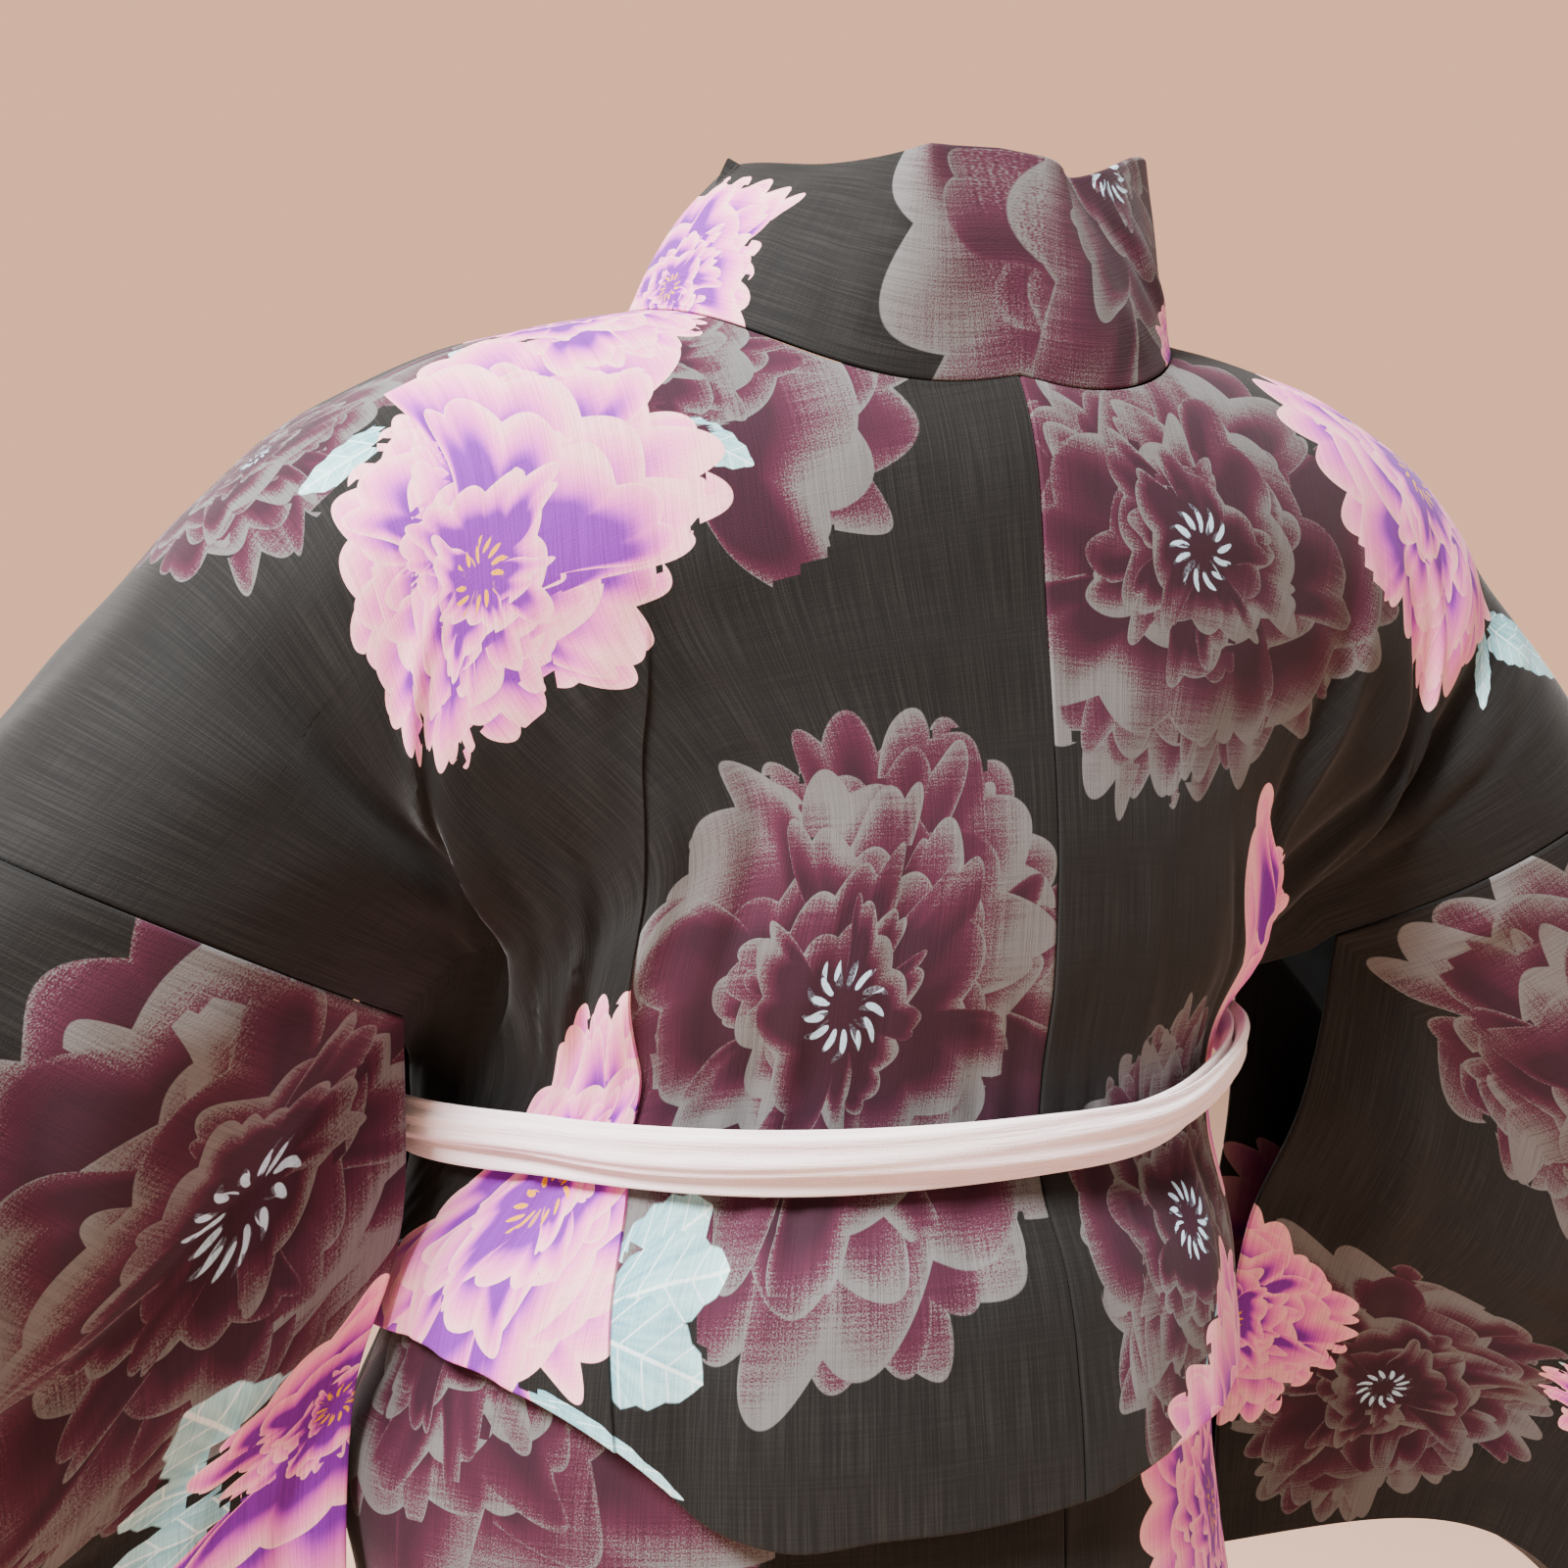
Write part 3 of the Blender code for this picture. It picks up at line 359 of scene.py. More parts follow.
# %% Folds and creases
BODY_FOLDS = [
    # side, u_start, v_start, u_end, v_end, width, height
    (1, 0.275, 0.050, 0.285, 0.215, 0.020, -0.0110),
    (1, 0.200, 0.170, 0.215, 0.300, 0.010, -0.0045),
    (1, 0.165, 0.200, 0.185, 0.300, 0.009, 0.0035),
    (1, 0.125, 0.120, 0.135, 0.300, 0.008, -0.0030),
    (-1, 0.270, 0.060, 0.285, 0.215, 0.018, -0.0110),
    (-1, 0.215, 0.120, 0.225, 0.300, 0.009, -0.0050),
    (-1, 0.165, 0.160, 0.195, 0.300, 0.008, 0.0030),
    (1, 0.120, 0.300, 0.118, 0.440, 0.010, -0.0035),
    (1, 0.215, 0.290, 0.210, 0.430, 0.010, 0.0035),
    (-1, 0.100, 0.300, 0.095, 0.440, 0.012, 0.0030),
    (-1, 0.200, 0.290, 0.190, 0.430, 0.010, -0.0035),
]
BODY_CREASES = [
    # the same columns, for the smaller ones
    (1, 0.200, 0.110, 0.262, 0.150, 0.0060, 0.0030),
    (1, 0.262, 0.150, 0.330, 0.205, 0.0065, 0.0028),
    (1, 0.235, 0.140, 0.300, 0.225, 0.0060, -0.0024),
    (1, 0.190, 0.170, 0.230, 0.268, 0.0045, 0.0022),
    (1, 0.205, 0.155, 0.255, 0.250, 0.0045, -0.0020),
    (1, 0.140, 0.140, 0.180, 0.200, 0.0050, 0.0014),
    (1, 0.240, 0.215, 0.250, 0.300, 0.0040, 0.0018),
    (1, 0.060, 0.225, 0.072, 0.312, 0.0050, -0.0010),
    (1, 0.095, 0.250, 0.105, 0.318, 0.0045, 0.0011),
    (1, 0.030, 0.330, 0.036, 0.400, 0.0050, -0.0012),
    (1, 0.072, 0.325, 0.076, 0.380, 0.0040, 0.0013),
    (1, 0.098, 0.325, 0.090, 0.375, 0.0035, -0.0014),
    (1, 0.180, 0.330, 0.186, 0.420, 0.0055, 0.0016),
    (1, 0.240, 0.325, 0.250, 0.410, 0.0050, -0.0018),
    (1, 0.060, 0.020, 0.140, 0.050, 0.0060, 0.0010),
    (-1, 0.140, 0.125, 0.168, 0.240, 0.0045, -0.0022),
    (-1, 0.150, 0.120, 0.182, 0.235, 0.0040, 0.0018),
    (-1, 0.175, 0.100, 0.240, 0.190, 0.0060, -0.0024),
    (-1, 0.200, 0.090, 0.290, 0.190, 0.0065, 0.0024),
    (-1, 0.300, 0.060, 0.345, 0.190, 0.0060, -0.0018),
    (-1, 0.225, 0.150, 0.255, 0.280, 0.0045, 0.0022),
    (-1, 0.050, 0.235, 0.060, 0.310, 0.0050, 0.0009),
    (-1, 0.120, 0.250, 0.135, 0.312, 0.0040, -0.0014),
    (-1, 0.050, 0.325, 0.052, 0.400, 0.0050, -0.0012),
    (-1, 0.130, 0.325, 0.138, 0.395, 0.0045, 0.0014),
    (1, 0.130, -0.060, 0.180, -0.220, 0.0070, -0.0024),
    (1, 0.190, -0.110, 0.240, -0.260, 0.0060, 0.0022),
    (1, 0.090, -0.180, 0.110, -0.310, 0.0060, 0.0014),
    (1, 0.150, -0.330, 0.160, -0.420, 0.0060, -0.0016),
    (-1, 0.140, -0.070, 0.190, -0.230, 0.0070, 0.0022),
    (-1, 0.210, -0.120, 0.250, -0.270, 0.0060, -0.0022),
    (-1, 0.110, -0.200, 0.120, -0.310, 0.0060, -0.0012),
    (-1, 0.180, -0.330, 0.185, -0.410, 0.0060, 0.0016),
]
GATHER_REACH, GATHER_HEIGHT = 0.026, 0.0011
PLEAT_LINE = [
    # v, part of the way from the inner edge to the side, for the pleat on the left of the back
    (0.100, 0.340), (0.152, 0.356), (0.178, 0.394), (0.202, 0.444), (0.232, 0.503), (0.268, 0.531),
    (0.304, 0.548), (0.340, 0.537), (0.374, 0.502), (0.396, 0.488), (0.430, 0.470),
]
PLEAT_START, PLEAT_HEIGHT, PLEAT_WIDTH = 0.135, 0.0016, 0.016
print("large folds:", len(BODY_FOLDS), "smaller creases:", len(BODY_CREASES))

# %% [markdown]
# Each fold raises or lowers the cloth along its own normal. Adding heights is simpler than bending
# the surface, it never tears a seam, and folds that cross just add up, as soft cotton does.

# %% Heights above the smooth cloth
WAVES = np.random.default_rng(11).uniform(-1, 1, (14, 3))
WAVE_LENGTH, WAVE_SPREAD = 0.075, 0.045
BODY_WAVINESS = 0.00045


def fold_height(folds, side, u, v):
    """Sum of straight creases. Each is height * exp(-(across / width)^2), and fades at both ends."""
    total = np.zeros_like(u)
    for row_side, u0, v0, u1, v1, width, height in folds:
        if row_side != side:
            continue
        du, dv = u1 - u0, v1 - v0
        along = ((u - u0) * du + (v - v0) * dv) / (du * du + dv * dv)
        across = ((u - u0) * dv - (v - v0) * du) / np.hypot(du, dv)
        fade = smooth(-0.25, 0.35, along) * (1 - smooth(0.70, 1.25, along))
        total += height * fade * np.exp(-(across / width) ** 2)
    return total


def waviness(u, v, height):
    """Faint unevenness: fourteen plane waves of 3 to 12 cm with fixed directions and phases."""
    total = np.zeros_like(u)
    for way, size, phase in WAVES:
        pitch = 2 * np.pi / (WAVE_LENGTH + WAVE_SPREAD * size)
        total += np.sin(pitch * (u * np.cos(np.pi * way) + v * np.sin(np.pi * way)) + 7 * phase)
    return height * total / np.sqrt(len(WAVES))


def gathers(u, z):
    """Small upright gathers above and below the tie: waves along u that die out away from it."""
    wave = np.sin(2 * np.pi * u / 0.019 + 2.2 * np.sin(u * 41)) * (0.6 + 0.4 * np.sin(u * 67 + 1))
    near = np.exp(-(np.abs(z - TIE_Z) / GATHER_REACH) ** 1.5)
    return GATHER_HEIGHT * wave * near


def pleat_height(part, v):
    """A loose pleat lies over its neighbour: it stands up to a sharp edge at the pleat line, on the
    outer side, and drops to nothing on the inner side."""
    line = curve(PLEAT_LINE, 1, v)
    away = (part - line) * SIDE_WIDTH
    over = np.where(away > 0.0002, np.exp(-np.maximum(away, 0) / PLEAT_WIDTH), 0.0)
    return PLEAT_HEIGHT * over * smooth(PLEAT_START, PLEAT_START + 0.05, v)


def body_point(u, v, side, fine=True):
    """Upper cloth at (u, v) and its outward normal: the drape, moved out along its normal by the
    overlap of the fronts, the folds, the gathers and the waviness. side is 1 left, -1 right."""
    u, v = np.broadcast_arrays(np.asarray(u, float), np.asarray(v, float))
    step = 0.001

    def base(uu, vv):
        back, front = (body_base(uu, np.abs(vv), face, side) for face in (1, -1))
        return np.where((vv >= 0)[..., None], back, front)

    point = base(u, v)
    normal = unit(np.cross(base(u + step, v) - base(u - step, v), base(u, v + step) - base(u, v - step)))
    x, z = point[..., 0], point[..., 2]
    tuck = UNDER_TUCK * smooth(-0.28, -0.23, z) * (side < 0)
    over = side * LAYER * smooth(0.09, -0.09, x) - tuck * smooth(-0.04, -0.11, x)
    over = over * smooth(0.005, 0.055, -v)
    pinch = 1 - 0.9 * np.exp(-((z - TIE_Z) / 0.020) ** 2)
    relief = pinch * fold_height(BODY_FOLDS, side, u, v)
    if fine:
        free = smooth(0.0, 0.012, u - inner_edge(v)) * smooth(0.0, 0.012, side_edge(v) - u)
        small = fold_height(BODY_CREASES, side, u, v) + waviness(u + 0.7 * side, v, BODY_WAVINESS)
        relief = relief + free * (pinch * small + gathers(u, z))
    point = point + normal * (over + relief)[..., None]
    return point * mirror(side), normal * mirror(side)


def lowest_v(u, face, side):
    """Cloth distance at which the upper cloth reaches the waist fold's lower edge, read off a row
    of samples down the cloth."""
    vs = np.linspace(0.26, 0.50, 97)
    grid = body_base(u[:, None] + 0 * vs, vs + 0 * u[:, None], face, side)
    turn = np.degrees(np.arctan2(side * grid[..., 0], grid[..., 1]))
    turn = (turn + 180) % 360 - 180
    gap = grid[..., 2] - curve(FOLD_EDGE, 1, turn)
    return np.array([np.interp(0.0, -row, vs) for row in gap])


print("waves:", len(WAVES))

# %% [markdown]
# Printed cotton is dyed flat, before it is cut, so the print is laid out on the cloth measures and
# bends with the cloth. Drawing a whole flower in shader nodes would be slow, so the work is shared:
# numpy decides for each face of the cloth which petals can reach it, and stores at its corners where
# they lie in those petals. The material then only has to draw a petal, sharp at any distance.

# %% How a flower grows
BRIGHT, SHADOW, LEAF, BRIGHT_STAMENS, SHADOW_STAMENS = 1, 2, 3, 4, 5
LAYERS_SHOWN = 3
PETAL_LAYERS = [
    # part of the flower's reach, petals, how far the petals open sideways
    (1.00, 9, 1.75),
    (0.86, 7, 1.85),
    (0.66, 6, 1.90),
    (0.47, 6, 1.85),
    (0.31, 5, 1.80),
]
STAMEN_REACH = 0.17


def petal_rows(kind, centre, reach, eye, seed):
    """One flower as rows (kind, base u, base v, way u, way v, length, half width per length, hash,
    region), outer petals first. A petal starts at the eye and ends on an ellipse round the centre,
    scaled by its layer: the length t solves |(eye - centre + t way) / reach| = 1."""
    rng = np.random.default_rng(seed)
    centre, reach, eye = (np.asarray(value, float) for value in (centre, reach, eye))
    rows = []
    for part, count, spread in PETAL_LAYERS:
        places = np.arange(count) + rng.uniform(-0.28, 0.28, count)
        turns = 2 * np.pi * places / count + rng.uniform(0, 7)
        way = np.stack([np.cos(turns), np.sin(turns)], axis=-1)
        start, go = (eye - centre) / reach, way / reach
        a, b, c = (go * go).sum(-1), (start * go).sum(-1), (start * start).sum() - 1
        length = (-b + np.sqrt(b * b - a * c)) / a * part * rng.uniform(0.80, 1.10, count)
        half = np.tan(np.minimum(np.pi / count * spread, 1.0)) * rng.uniform(0.80, 1.15, count)
        order = rng.permutation(count)
        for i in order:
            rows.append((kind, eye[0], eye[1], way[i, 0], way[i, 1], length[i], half[i], rng.uniform()))
    size = STAMEN_REACH * reach.mean()
    rows.append((kind + 3, eye[0], eye[1], 1.0, 0.0, size, 1.0, rng.uniform()))
    return rows


def leaf_row(start, end, width, seed):
    """One leaf as a row of the same form: from its stalk to its tip."""
    way = np.asarray(end, float) - np.asarray(start, float)
    length = np.linalg.norm(way)
    return (LEAF, start[0], start[1], way[0] / length, way[1] / length, length, width / length,
            np.random.default_rng(seed).uniform())


print("petals in one flower:", sum(row[1] for row in PETAL_LAYERS))

# %% [markdown]
# numpy and the material have to agree on a petal's outline to the hair, or slivers of the cloth
# would show between two petals. So the outline is written once, and takes its sine, absolute value,
# larger and smaller from whoever calls it: whole arrays here, shader nodes later.

# %% A petal's outline
TIP_BEND, CORNER_CUT, CORNER_START = 0.14, 3.0, 0.62
LOBE_DEPTH, LOBE_COUNT, LOBE_SPREAD = 0.125, 6.0, 4.0
BASE_DROP = 0.10          # the fan starts this much behind the eye, so that petals cover it
SEED_RANGE = 40.0
SURE_DEPTH = 0.006        # a face this deep inside a petal is covered by it


def petal_cover(x, y, mark, sin=np.sin, absolute=np.abs, highest=np.maximum, least=np.minimum):
    """How deep a place lies inside a petal's outline, negative outside. x and y are bent by slow
    waves, q = y / x is the part of the way to the fan's side, and the tip is round with lobes:
    1 - bend q^2 - corner - depth (1 - |sin(count q + seed)|). The least of the depths below the tip,
    inside the sides and above the base counts."""
    seed = mark * SEED_RANGE
    px = x + BASE_DROP + sin(y * 2.6 + seed * 3.0) * 0.045 + sin(y * 7.0 + x * 4.0 + seed) * 0.022
    py = y + sin(x * 3.4 + seed * 2.0) * 0.085 + sin(x * 9.0 - y * 3.0 + seed) * 0.022
    q = py / highest(px, 0.03)
    side = absolute(q)
    corner = highest(side - CORNER_START, 0.0)
    lobes = 1.0 - absolute(sin(q * (mark * LOBE_SPREAD + LOBE_COUNT) + seed))
    tip = 1.0 + BASE_DROP - q * q * TIP_BEND - corner * corner * CORNER_CUT - lobes * LOBE_DEPTH
    return least(least(tip - px, (1.02 - side) * px), px * 0.6), px / highest(tip, 0.2), q, tip - px


print("depth at a petal's middle:", round(float(petal_cover(0.5, 0.0, 0.5)[0]), 2))

# %% [markdown]
# A face needs only the petals whose outline crosses it and the one below that covers it whole.
# Everything further down is hidden, however many flowers lie on each other.

# %% Which petals reach a face


def corner_places(corners, region, rows):
    """For the faces whose corners are given as (faces, 4, 2) cloth places: the petals to draw on each
    face, and for each of them the corners' places (along, across, code). The lowest of the petals is
    the topmost one that covers the whole face, and over it come those whose outline crosses it. The
    face's cotton says how much there is to draw: 0 nothing, 1 the covering petal, 2 one more petal's
    outline, 3 anything."""
    middle = corners.mean(axis=1)
    half_face = np.linalg.norm(corners - middle[:, None], axis=-1).max(axis=1)
    samples = np.concatenate([corners, middle[:, None], (corners + middle[:, None]) / 2], axis=1)
    picks = np.full((LAYERS_SHOWN, len(middle)), -1)
    for index, (kind, u, v, way_u, way_v, length, half, mark, only) in enumerate(rows):
        near = np.flatnonzero(np.hypot(middle[:, 0] - u, middle[:, 1] - v) < 1.2 * length + 0.01)
        if only:
            near = near[(region[near] == 0) | (region[near] == only)]
        du, dv = samples[near, :, 0] - u, samples[near, :, 1] - v
        along, across = (du * way_u + dv * way_v) / length, (dv * way_u - du * way_v) / (length * half)
        edge = half_face[near] / length
        if kind == LEAF:
            x, y = along[:, 4], np.abs(across[:, 4])
            unsure = (x > -edge) & (x < 1 + edge) & (y < 1.25 + edge / half)
            sure = np.zeros(len(near), bool)
        elif kind in (BRIGHT_STAMENS, SHADOW_STAMENS):
            unsure = np.hypot(along, across)[:, 4] < 1.0 + edge
            sure = np.zeros(len(near), bool)
        else:
            depth = petal_cover(along, across, mark)[0]
            sure = depth.min(axis=1) > SURE_DEPTH
            unsure = ~sure & (depth.max(axis=1) > -0.25 * edge)
        unsure, sure = near[unsure], near[sure]
        picks[1:-1, unsure] = picks[:-2, unsure]
        picks[0, unsure] = index
        picks[:-1, sure] = -1
        picks[-1, sure] = index
    table = np.array([row[:8] for row in rows] + [(0, 9, 9, 1, 0, 0.01, 1, 0.5)], float)
    kind, u, v, way_u, way_v, length, half, mark = (table[picks][..., None, i] for i in range(8))
    du, dv = corners[None, ..., 0] - u, corners[None, ..., 1] - v
    along, across = (du * way_u + dv * way_v) / length, (dv * way_u - du * way_v) / (length * half)
    code = kind + 0.1 + 0.8 * mark + 0 * along
    one_outline = (picks[1] < 0) & (kind[0, :, 0] < LEAF)
    cotton = np.select([(picks < 0).all(axis=0), picks[0] < 0, one_outline], [0, 1, 2], 3)
    return np.stack([along, across, code], axis=-1), cotton


print("printed shapes kept for a face:", LAYERS_SHOWN)

# %% [markdown]
# Where each flower sits is what makes a yukata look right: big dark peonies in the back with their
# light edges cut off at the seams, and bright ones beside them. Each row below is one flower or leaf
# on one piece. The piece's region says on which side of the pleat it may show.

# %% Where the flowers lie
FLOWERS = {
    # piece: kind, centre u, v, reach u, v, eye u, v, seed, region
    "body_left": [
        (SHADOW, 0.115, 0.068, 0.092, 0.056, 0.120, 0.060, 5, 0),
        (SHADOW, 0.232, 0.022, 0.040, 0.040, 0.232, 0.010, 6, 0),
        (SHADOW, 0.086, 0.298, 0.104, 0.102, 0.085, 0.292, 2, 1),
        (SHADOW, 0.236, 0.352, 0.052, 0.048, 0.230, 0.376, 4, 0),
        (BRIGHT, 0.166, 0.097, 0.071, 0.061, 0.179, 0.112, 131, 0),
        (BRIGHT, 0.204, 0.342, 0.078, 0.076, 0.198, 0.334, 32, 2),
        (BRIGHT, 0.112, 0.030, 0.036, 0.034, 0.120, 0.016, 34, 0),
        (SHADOW, 0.110, -0.250, 0.095, 0.095, 0.105, -0.240, 41, 0),
        (BRIGHT, 0.230, -0.130, 0.075, 0.070, 0.235, -0.120, 42, 0),
        (BRIGHT, 0.215, -0.380, 0.075, 0.075, 0.200, -0.370, 43, 0),
    ],
    "body_right": [
        (SHADOW, 0.068, 0.152, 0.094, 0.092, 0.064, 0.144, 1, 0),
        (SHADOW, 0.088, 0.376, 0.076, 0.078, 0.086, 0.372, 7, 0),
        (BRIGHT, 0.192, 0.066, 0.078, 0.064, 0.198, 0.060, 33, 0),
        (BRIGHT, 0.212, 0.290, 0.082, 0.070, 0.222, 0.285, 38, 0),
        (BRIGHT, 0.118, 0.462, 0.064, 0.070, 0.130, 0.470, 39, 0),
        (SHADOW, 0.200, -0.160, 0.100, 0.095, 0.205, -0.150, 44, 0),
        (BRIGHT, 0.100, -0.300, 0.078, 0.080, 0.105, -0.290, 45, 0),
        (SHADOW, 0.250, -0.380, 0.080, 0.080, 0.245, -0.370, 46, 0),
    ],
    "collar": [
        (SHADOW, -0.030, 0.038, 0.104, 0.052, -0.092, 0.066, 61, 0),
        (BRIGHT, 0.134, 0.016, 0.034, 0.038, 0.136, 0.008, 62, 0),
        (BRIGHT, -0.104, -0.008, 0.030, 0.028, -0.100, -0.012, 63, 0),
        (SHADOW, 0.300, 0.030, 0.080, 0.060, 0.300, 0.030, 64, 0),
        (BRIGHT, -0.300, 0.040, 0.070, 0.060, -0.300, 0.040, 65, 0),
    ],
    "sleeve_left": [
        (SHADOW, 0.052, 0.196, 0.092, 0.112, 0.046, 0.203, 3, 0),
        (BRIGHT, 0.010, 0.334, 0.026, 0.074, 0.006, 0.322, 35, 0),
        (BRIGHT, 0.230, 0.390, 0.080, 0.080, 0.220, 0.380, 71, 0),
        (SHADOW, 0.130, -0.180, 0.100, 0.100, 0.130, -0.170, 72, 0),
        (BRIGHT, 0.200, -0.360, 0.085, 0.085, 0.190, -0.350, 73, 0),
    ],
    "sleeve_right": [
        (SHADOW, 0.074, 0.134, 0.080, 0.084, 0.094, 0.136, 9, 0),
        (SHADOW, 0.082, 0.390, 0.086, 0.100, 0.080, 0.408, 8, 0),
        (BRIGHT, 0.004, 0.372, 0.050, 0.062, -0.002, 0.372, 36, 0),
        (BRIGHT, 0.196, 0.350, 0.046, 0.056, 0.200, 0.350, 37, 0),
        (SHADOW, 0.200, -0.200, 0.100, 0.100, 0.200, -0.190, 74, 0),
        (BRIGHT, 0.090, -0.330, 0.085, 0.085, 0.100, -0.330, 75, 0),
    ],
    "skirt_back_left": [
        (SHADOW, 0.215, 0.410, 0.108, 0.108, 0.228, 0.388, 4, 0),
        (SHADOW, 0.070, 0.620, 0.100, 0.100, 0.070, 0.610, 81, 0),
        (BRIGHT, 0.220, 0.700, 0.085, 0.085, 0.210, 0.690, 82, 0),
        (SHADOW, 0.120, 0.920, 0.105, 0.105, 0.120, 0.910, 83, 0),
        (BRIGHT, 0.060, 1.160, 0.085, 0.085, 0.070, 1.150, 84, 0),
        (SHADOW, 0.230, 1.240, 0.095, 0.095, 0.230, 1.230, 85, 0),
    ],
    "skirt_back_right": [
        (BRIGHT, 0.118, 0.470, 0.064, 0.070, 0.130, 0.480, 39, 0),
        (SHADOW, 0.200, 0.650, 0.100, 0.100, 0.200, 0.640, 86, 0),
        (BRIGHT, 0.070, 0.800, 0.085, 0.085, 0.080, 0.790, 87, 0),
        (SHADOW, 0.130, 1.040, 0.105, 0.105, 0.130, 1.030, 88, 0),
        (BRIGHT, 0.220, 1.230, 0.085, 0.085, 0.210, 1.220, 89, 0),
    ],
    "skirt_front_left": [
        (SHADOW, 0.120, 0.600, 0.100, 0.100, 0.120, 0.590, 90, 0),
        (BRIGHT, 0.190, 0.840, 0.085, 0.085, 0.180, 0.830, 91, 0),
        (SHADOW, 0.070, 1.060, 0.100, 0.100, 0.070, 1.050, 92, 0),
        (BRIGHT, 0.170, 1.260, 0.085, 0.085, 0.160, 1.250, 93, 0),
    ],
    "skirt_front_right": [
        (BRIGHT, 0.110, 0.540, 0.085, 0.085, 0.110, 0.530, 94, 0),
        (SHADOW, 0.150, 0.800, 0.100, 0.100, 0.150, 0.790, 95, 0),
        (BRIGHT, 0.080, 1.090, 0.085, 0.085, 0.090, 1.080, 96, 0),
    ],
    "skirt_okumi_left": [
        (BRIGHT, 0.080, 0.620, 0.075, 0.080, 0.080, 0.610, 97, 0),
        (SHADOW, 0.070, 0.930, 0.090, 0.100, 0.070, 0.920, 98, 0),
        (BRIGHT, 0.080, 1.210, 0.080, 0.085, 0.080, 1.200, 99, 0),
    ],
    "skirt_okumi_right": [
        (SHADOW, 0.080, 0.700, 0.090, 0.100, 0.080, 0.690, 100, 0),
        (BRIGHT, 0.070, 1.120, 0.080, 0.085, 0.070, 1.110, 101, 0),
    ],
}
LEAVES = {
    # piece: stalk u, v, tip u, v, width, seed, region
    "body_left": [
        (0.150, 0.052, 0.167, 0.024, 0.0080, 1, 0),
        (0.149, 0.052, 0.124, 0.034, 0.0080, 2, 0),
        (0.192, 0.058, 0.233, 0.050, 0.0080, 3, 0),
        (0.118, 0.092, 0.094, 0.112, 0.0065, 4, 0),
        (0.156, 0.372, 0.124, 0.352, 0.0150, 5, 1),
        (0.156, 0.376, 0.112, 0.368, 0.0150, 6, 1),
        (0.158, 0.382, 0.116, 0.400, 0.0160, 7, 1),
        (0.262, 0.326, 0.290, 0.316, 0.0060, 8, 2),
        (0.178, 0.396, 0.121, 0.433, 0.0050, 9, 0),
        (0.184, 0.394, 0.120, 0.441, 0.0050, 19, 0),
    ],
    "body_right": [
        (0.268, 0.072, 0.322, 0.048, 0.0120, 10, 0),
        (0.266, 0.070, 0.300, 0.066, 0.0110, 11, 0),
        (0.262, 0.072, 0.290, 0.100, 0.0050, 12, 0),
        (0.100, 0.392, 0.062, 0.460, 0.0040, 13, 0),
    ],
    "sleeve_left": [
        (0.026, 0.328, 0.064, 0.250, 0.0200, 14, 0),
        (0.028, 0.326, 0.078, 0.294, 0.0160, 15, 0),
        (0.022, 0.346, 0.080, 0.330, 0.0170, 16, 0),
    ],
    "sleeve_right": [
        (0.004, 0.366, 0.040, 0.372, 0.0030, 17, 0),
        (0.180, 0.320, 0.150, 0.330, 0.0060, 18, 0),
    ],
}


def cloth_print(piece):
    """All printed rows of one piece: dark flowers first, then leaves, then bright flowers."""
    printed = {SHADOW: [], BRIGHT: []}
    for kind, cu, cv, ru, rv, eu, ev, seed, only in FLOWERS.get(piece, []):
        petals = petal_rows(kind, (cu, cv), (ru, rv), (eu, ev), seed)
        printed[kind] += [row + (only,) for row in petals]
    leaves = [leaf_row((su, sv), (tu, tv), width, seed) + (only,)
              for su, sv, tu, tv, width, seed, only in LEAVES.get(piece, [])]
    return printed[SHADOW] + leaves + printed[BRIGHT]


print("flowers:", sum(map(len, FLOWERS.values())), "leaves:", sum(map(len, LEAVES.values())))

# %% [markdown]
# numpy holds a surface as arrays, and Blender as a mesh. These helpers hand the arrays over whole,
# which takes moments where a loop over vertices would take minutes.

# %% From arrays to a mesh
SHARP_ANGLE = np.radians(60)


def add_mesh(name, points, faces):
    """Mesh object from whole arrays of points and four-cornered faces, smooth but for sharp rims."""
    mesh = bpy.data.meshes.new(name)
    mesh.vertices.add(len(points))
    mesh.vertices.foreach_set("co", np.ascontiguousarray(points, dtype=np.float32).ravel())
    mesh.loops.add(faces.size)
    mesh.loops.foreach_set("vertex_index", np.ascontiguousarray(faces, dtype=np.int32).ravel())
    mesh.polygons.add(len(faces))
    mesh.polygons.foreach_set("loop_start", np.arange(0, faces.size, 4, dtype=np.int32))
    mesh.update(calc_edges=True)
    mesh.shade_smooth()
    mesh.set_sharp_from_angle(angle=SHARP_ANGLE)
    obj = bpy.data.objects.new(name + "_cloth", mesh)
    bpy.context.collection.objects.link(obj)
    return obj


def store(obj, name, values):
    """Keep one vector for each face corner under a name that the material can read."""
    layer = obj.data.attributes.new(name, "FLOAT_VECTOR", "CORNER")
    layer.data.foreach_set("vector", np.ascontiguousarray(values, dtype=np.float32).ravel())


print("edges sharper than", round(float(np.degrees(SHARP_ANGLE))), "degrees stay crisp")

# %% [markdown]
# Cotton is about a millimetre thick where it matters to the eye: at its edges. Each piece is a thin
# closed shell, an outer grid and the same grid moved in, joined by a rim. Close rows at the borders
# let a sewn or folded edge roll over softly, which also draws the fine dark line of a seam.

# %% Shells of cloth
CLOTH, ROLL = 0.0010, 0.0010
THINNED = 0.6       # the inner side rises by this part of the roll
EDGE_STEPS = (0.0, 0.0003, 0.0008, 0.0016, 0.0030)
CUT_LENGTHWISE = ("collar",)    # its warp runs round the neck, so its measures swap places for the weave


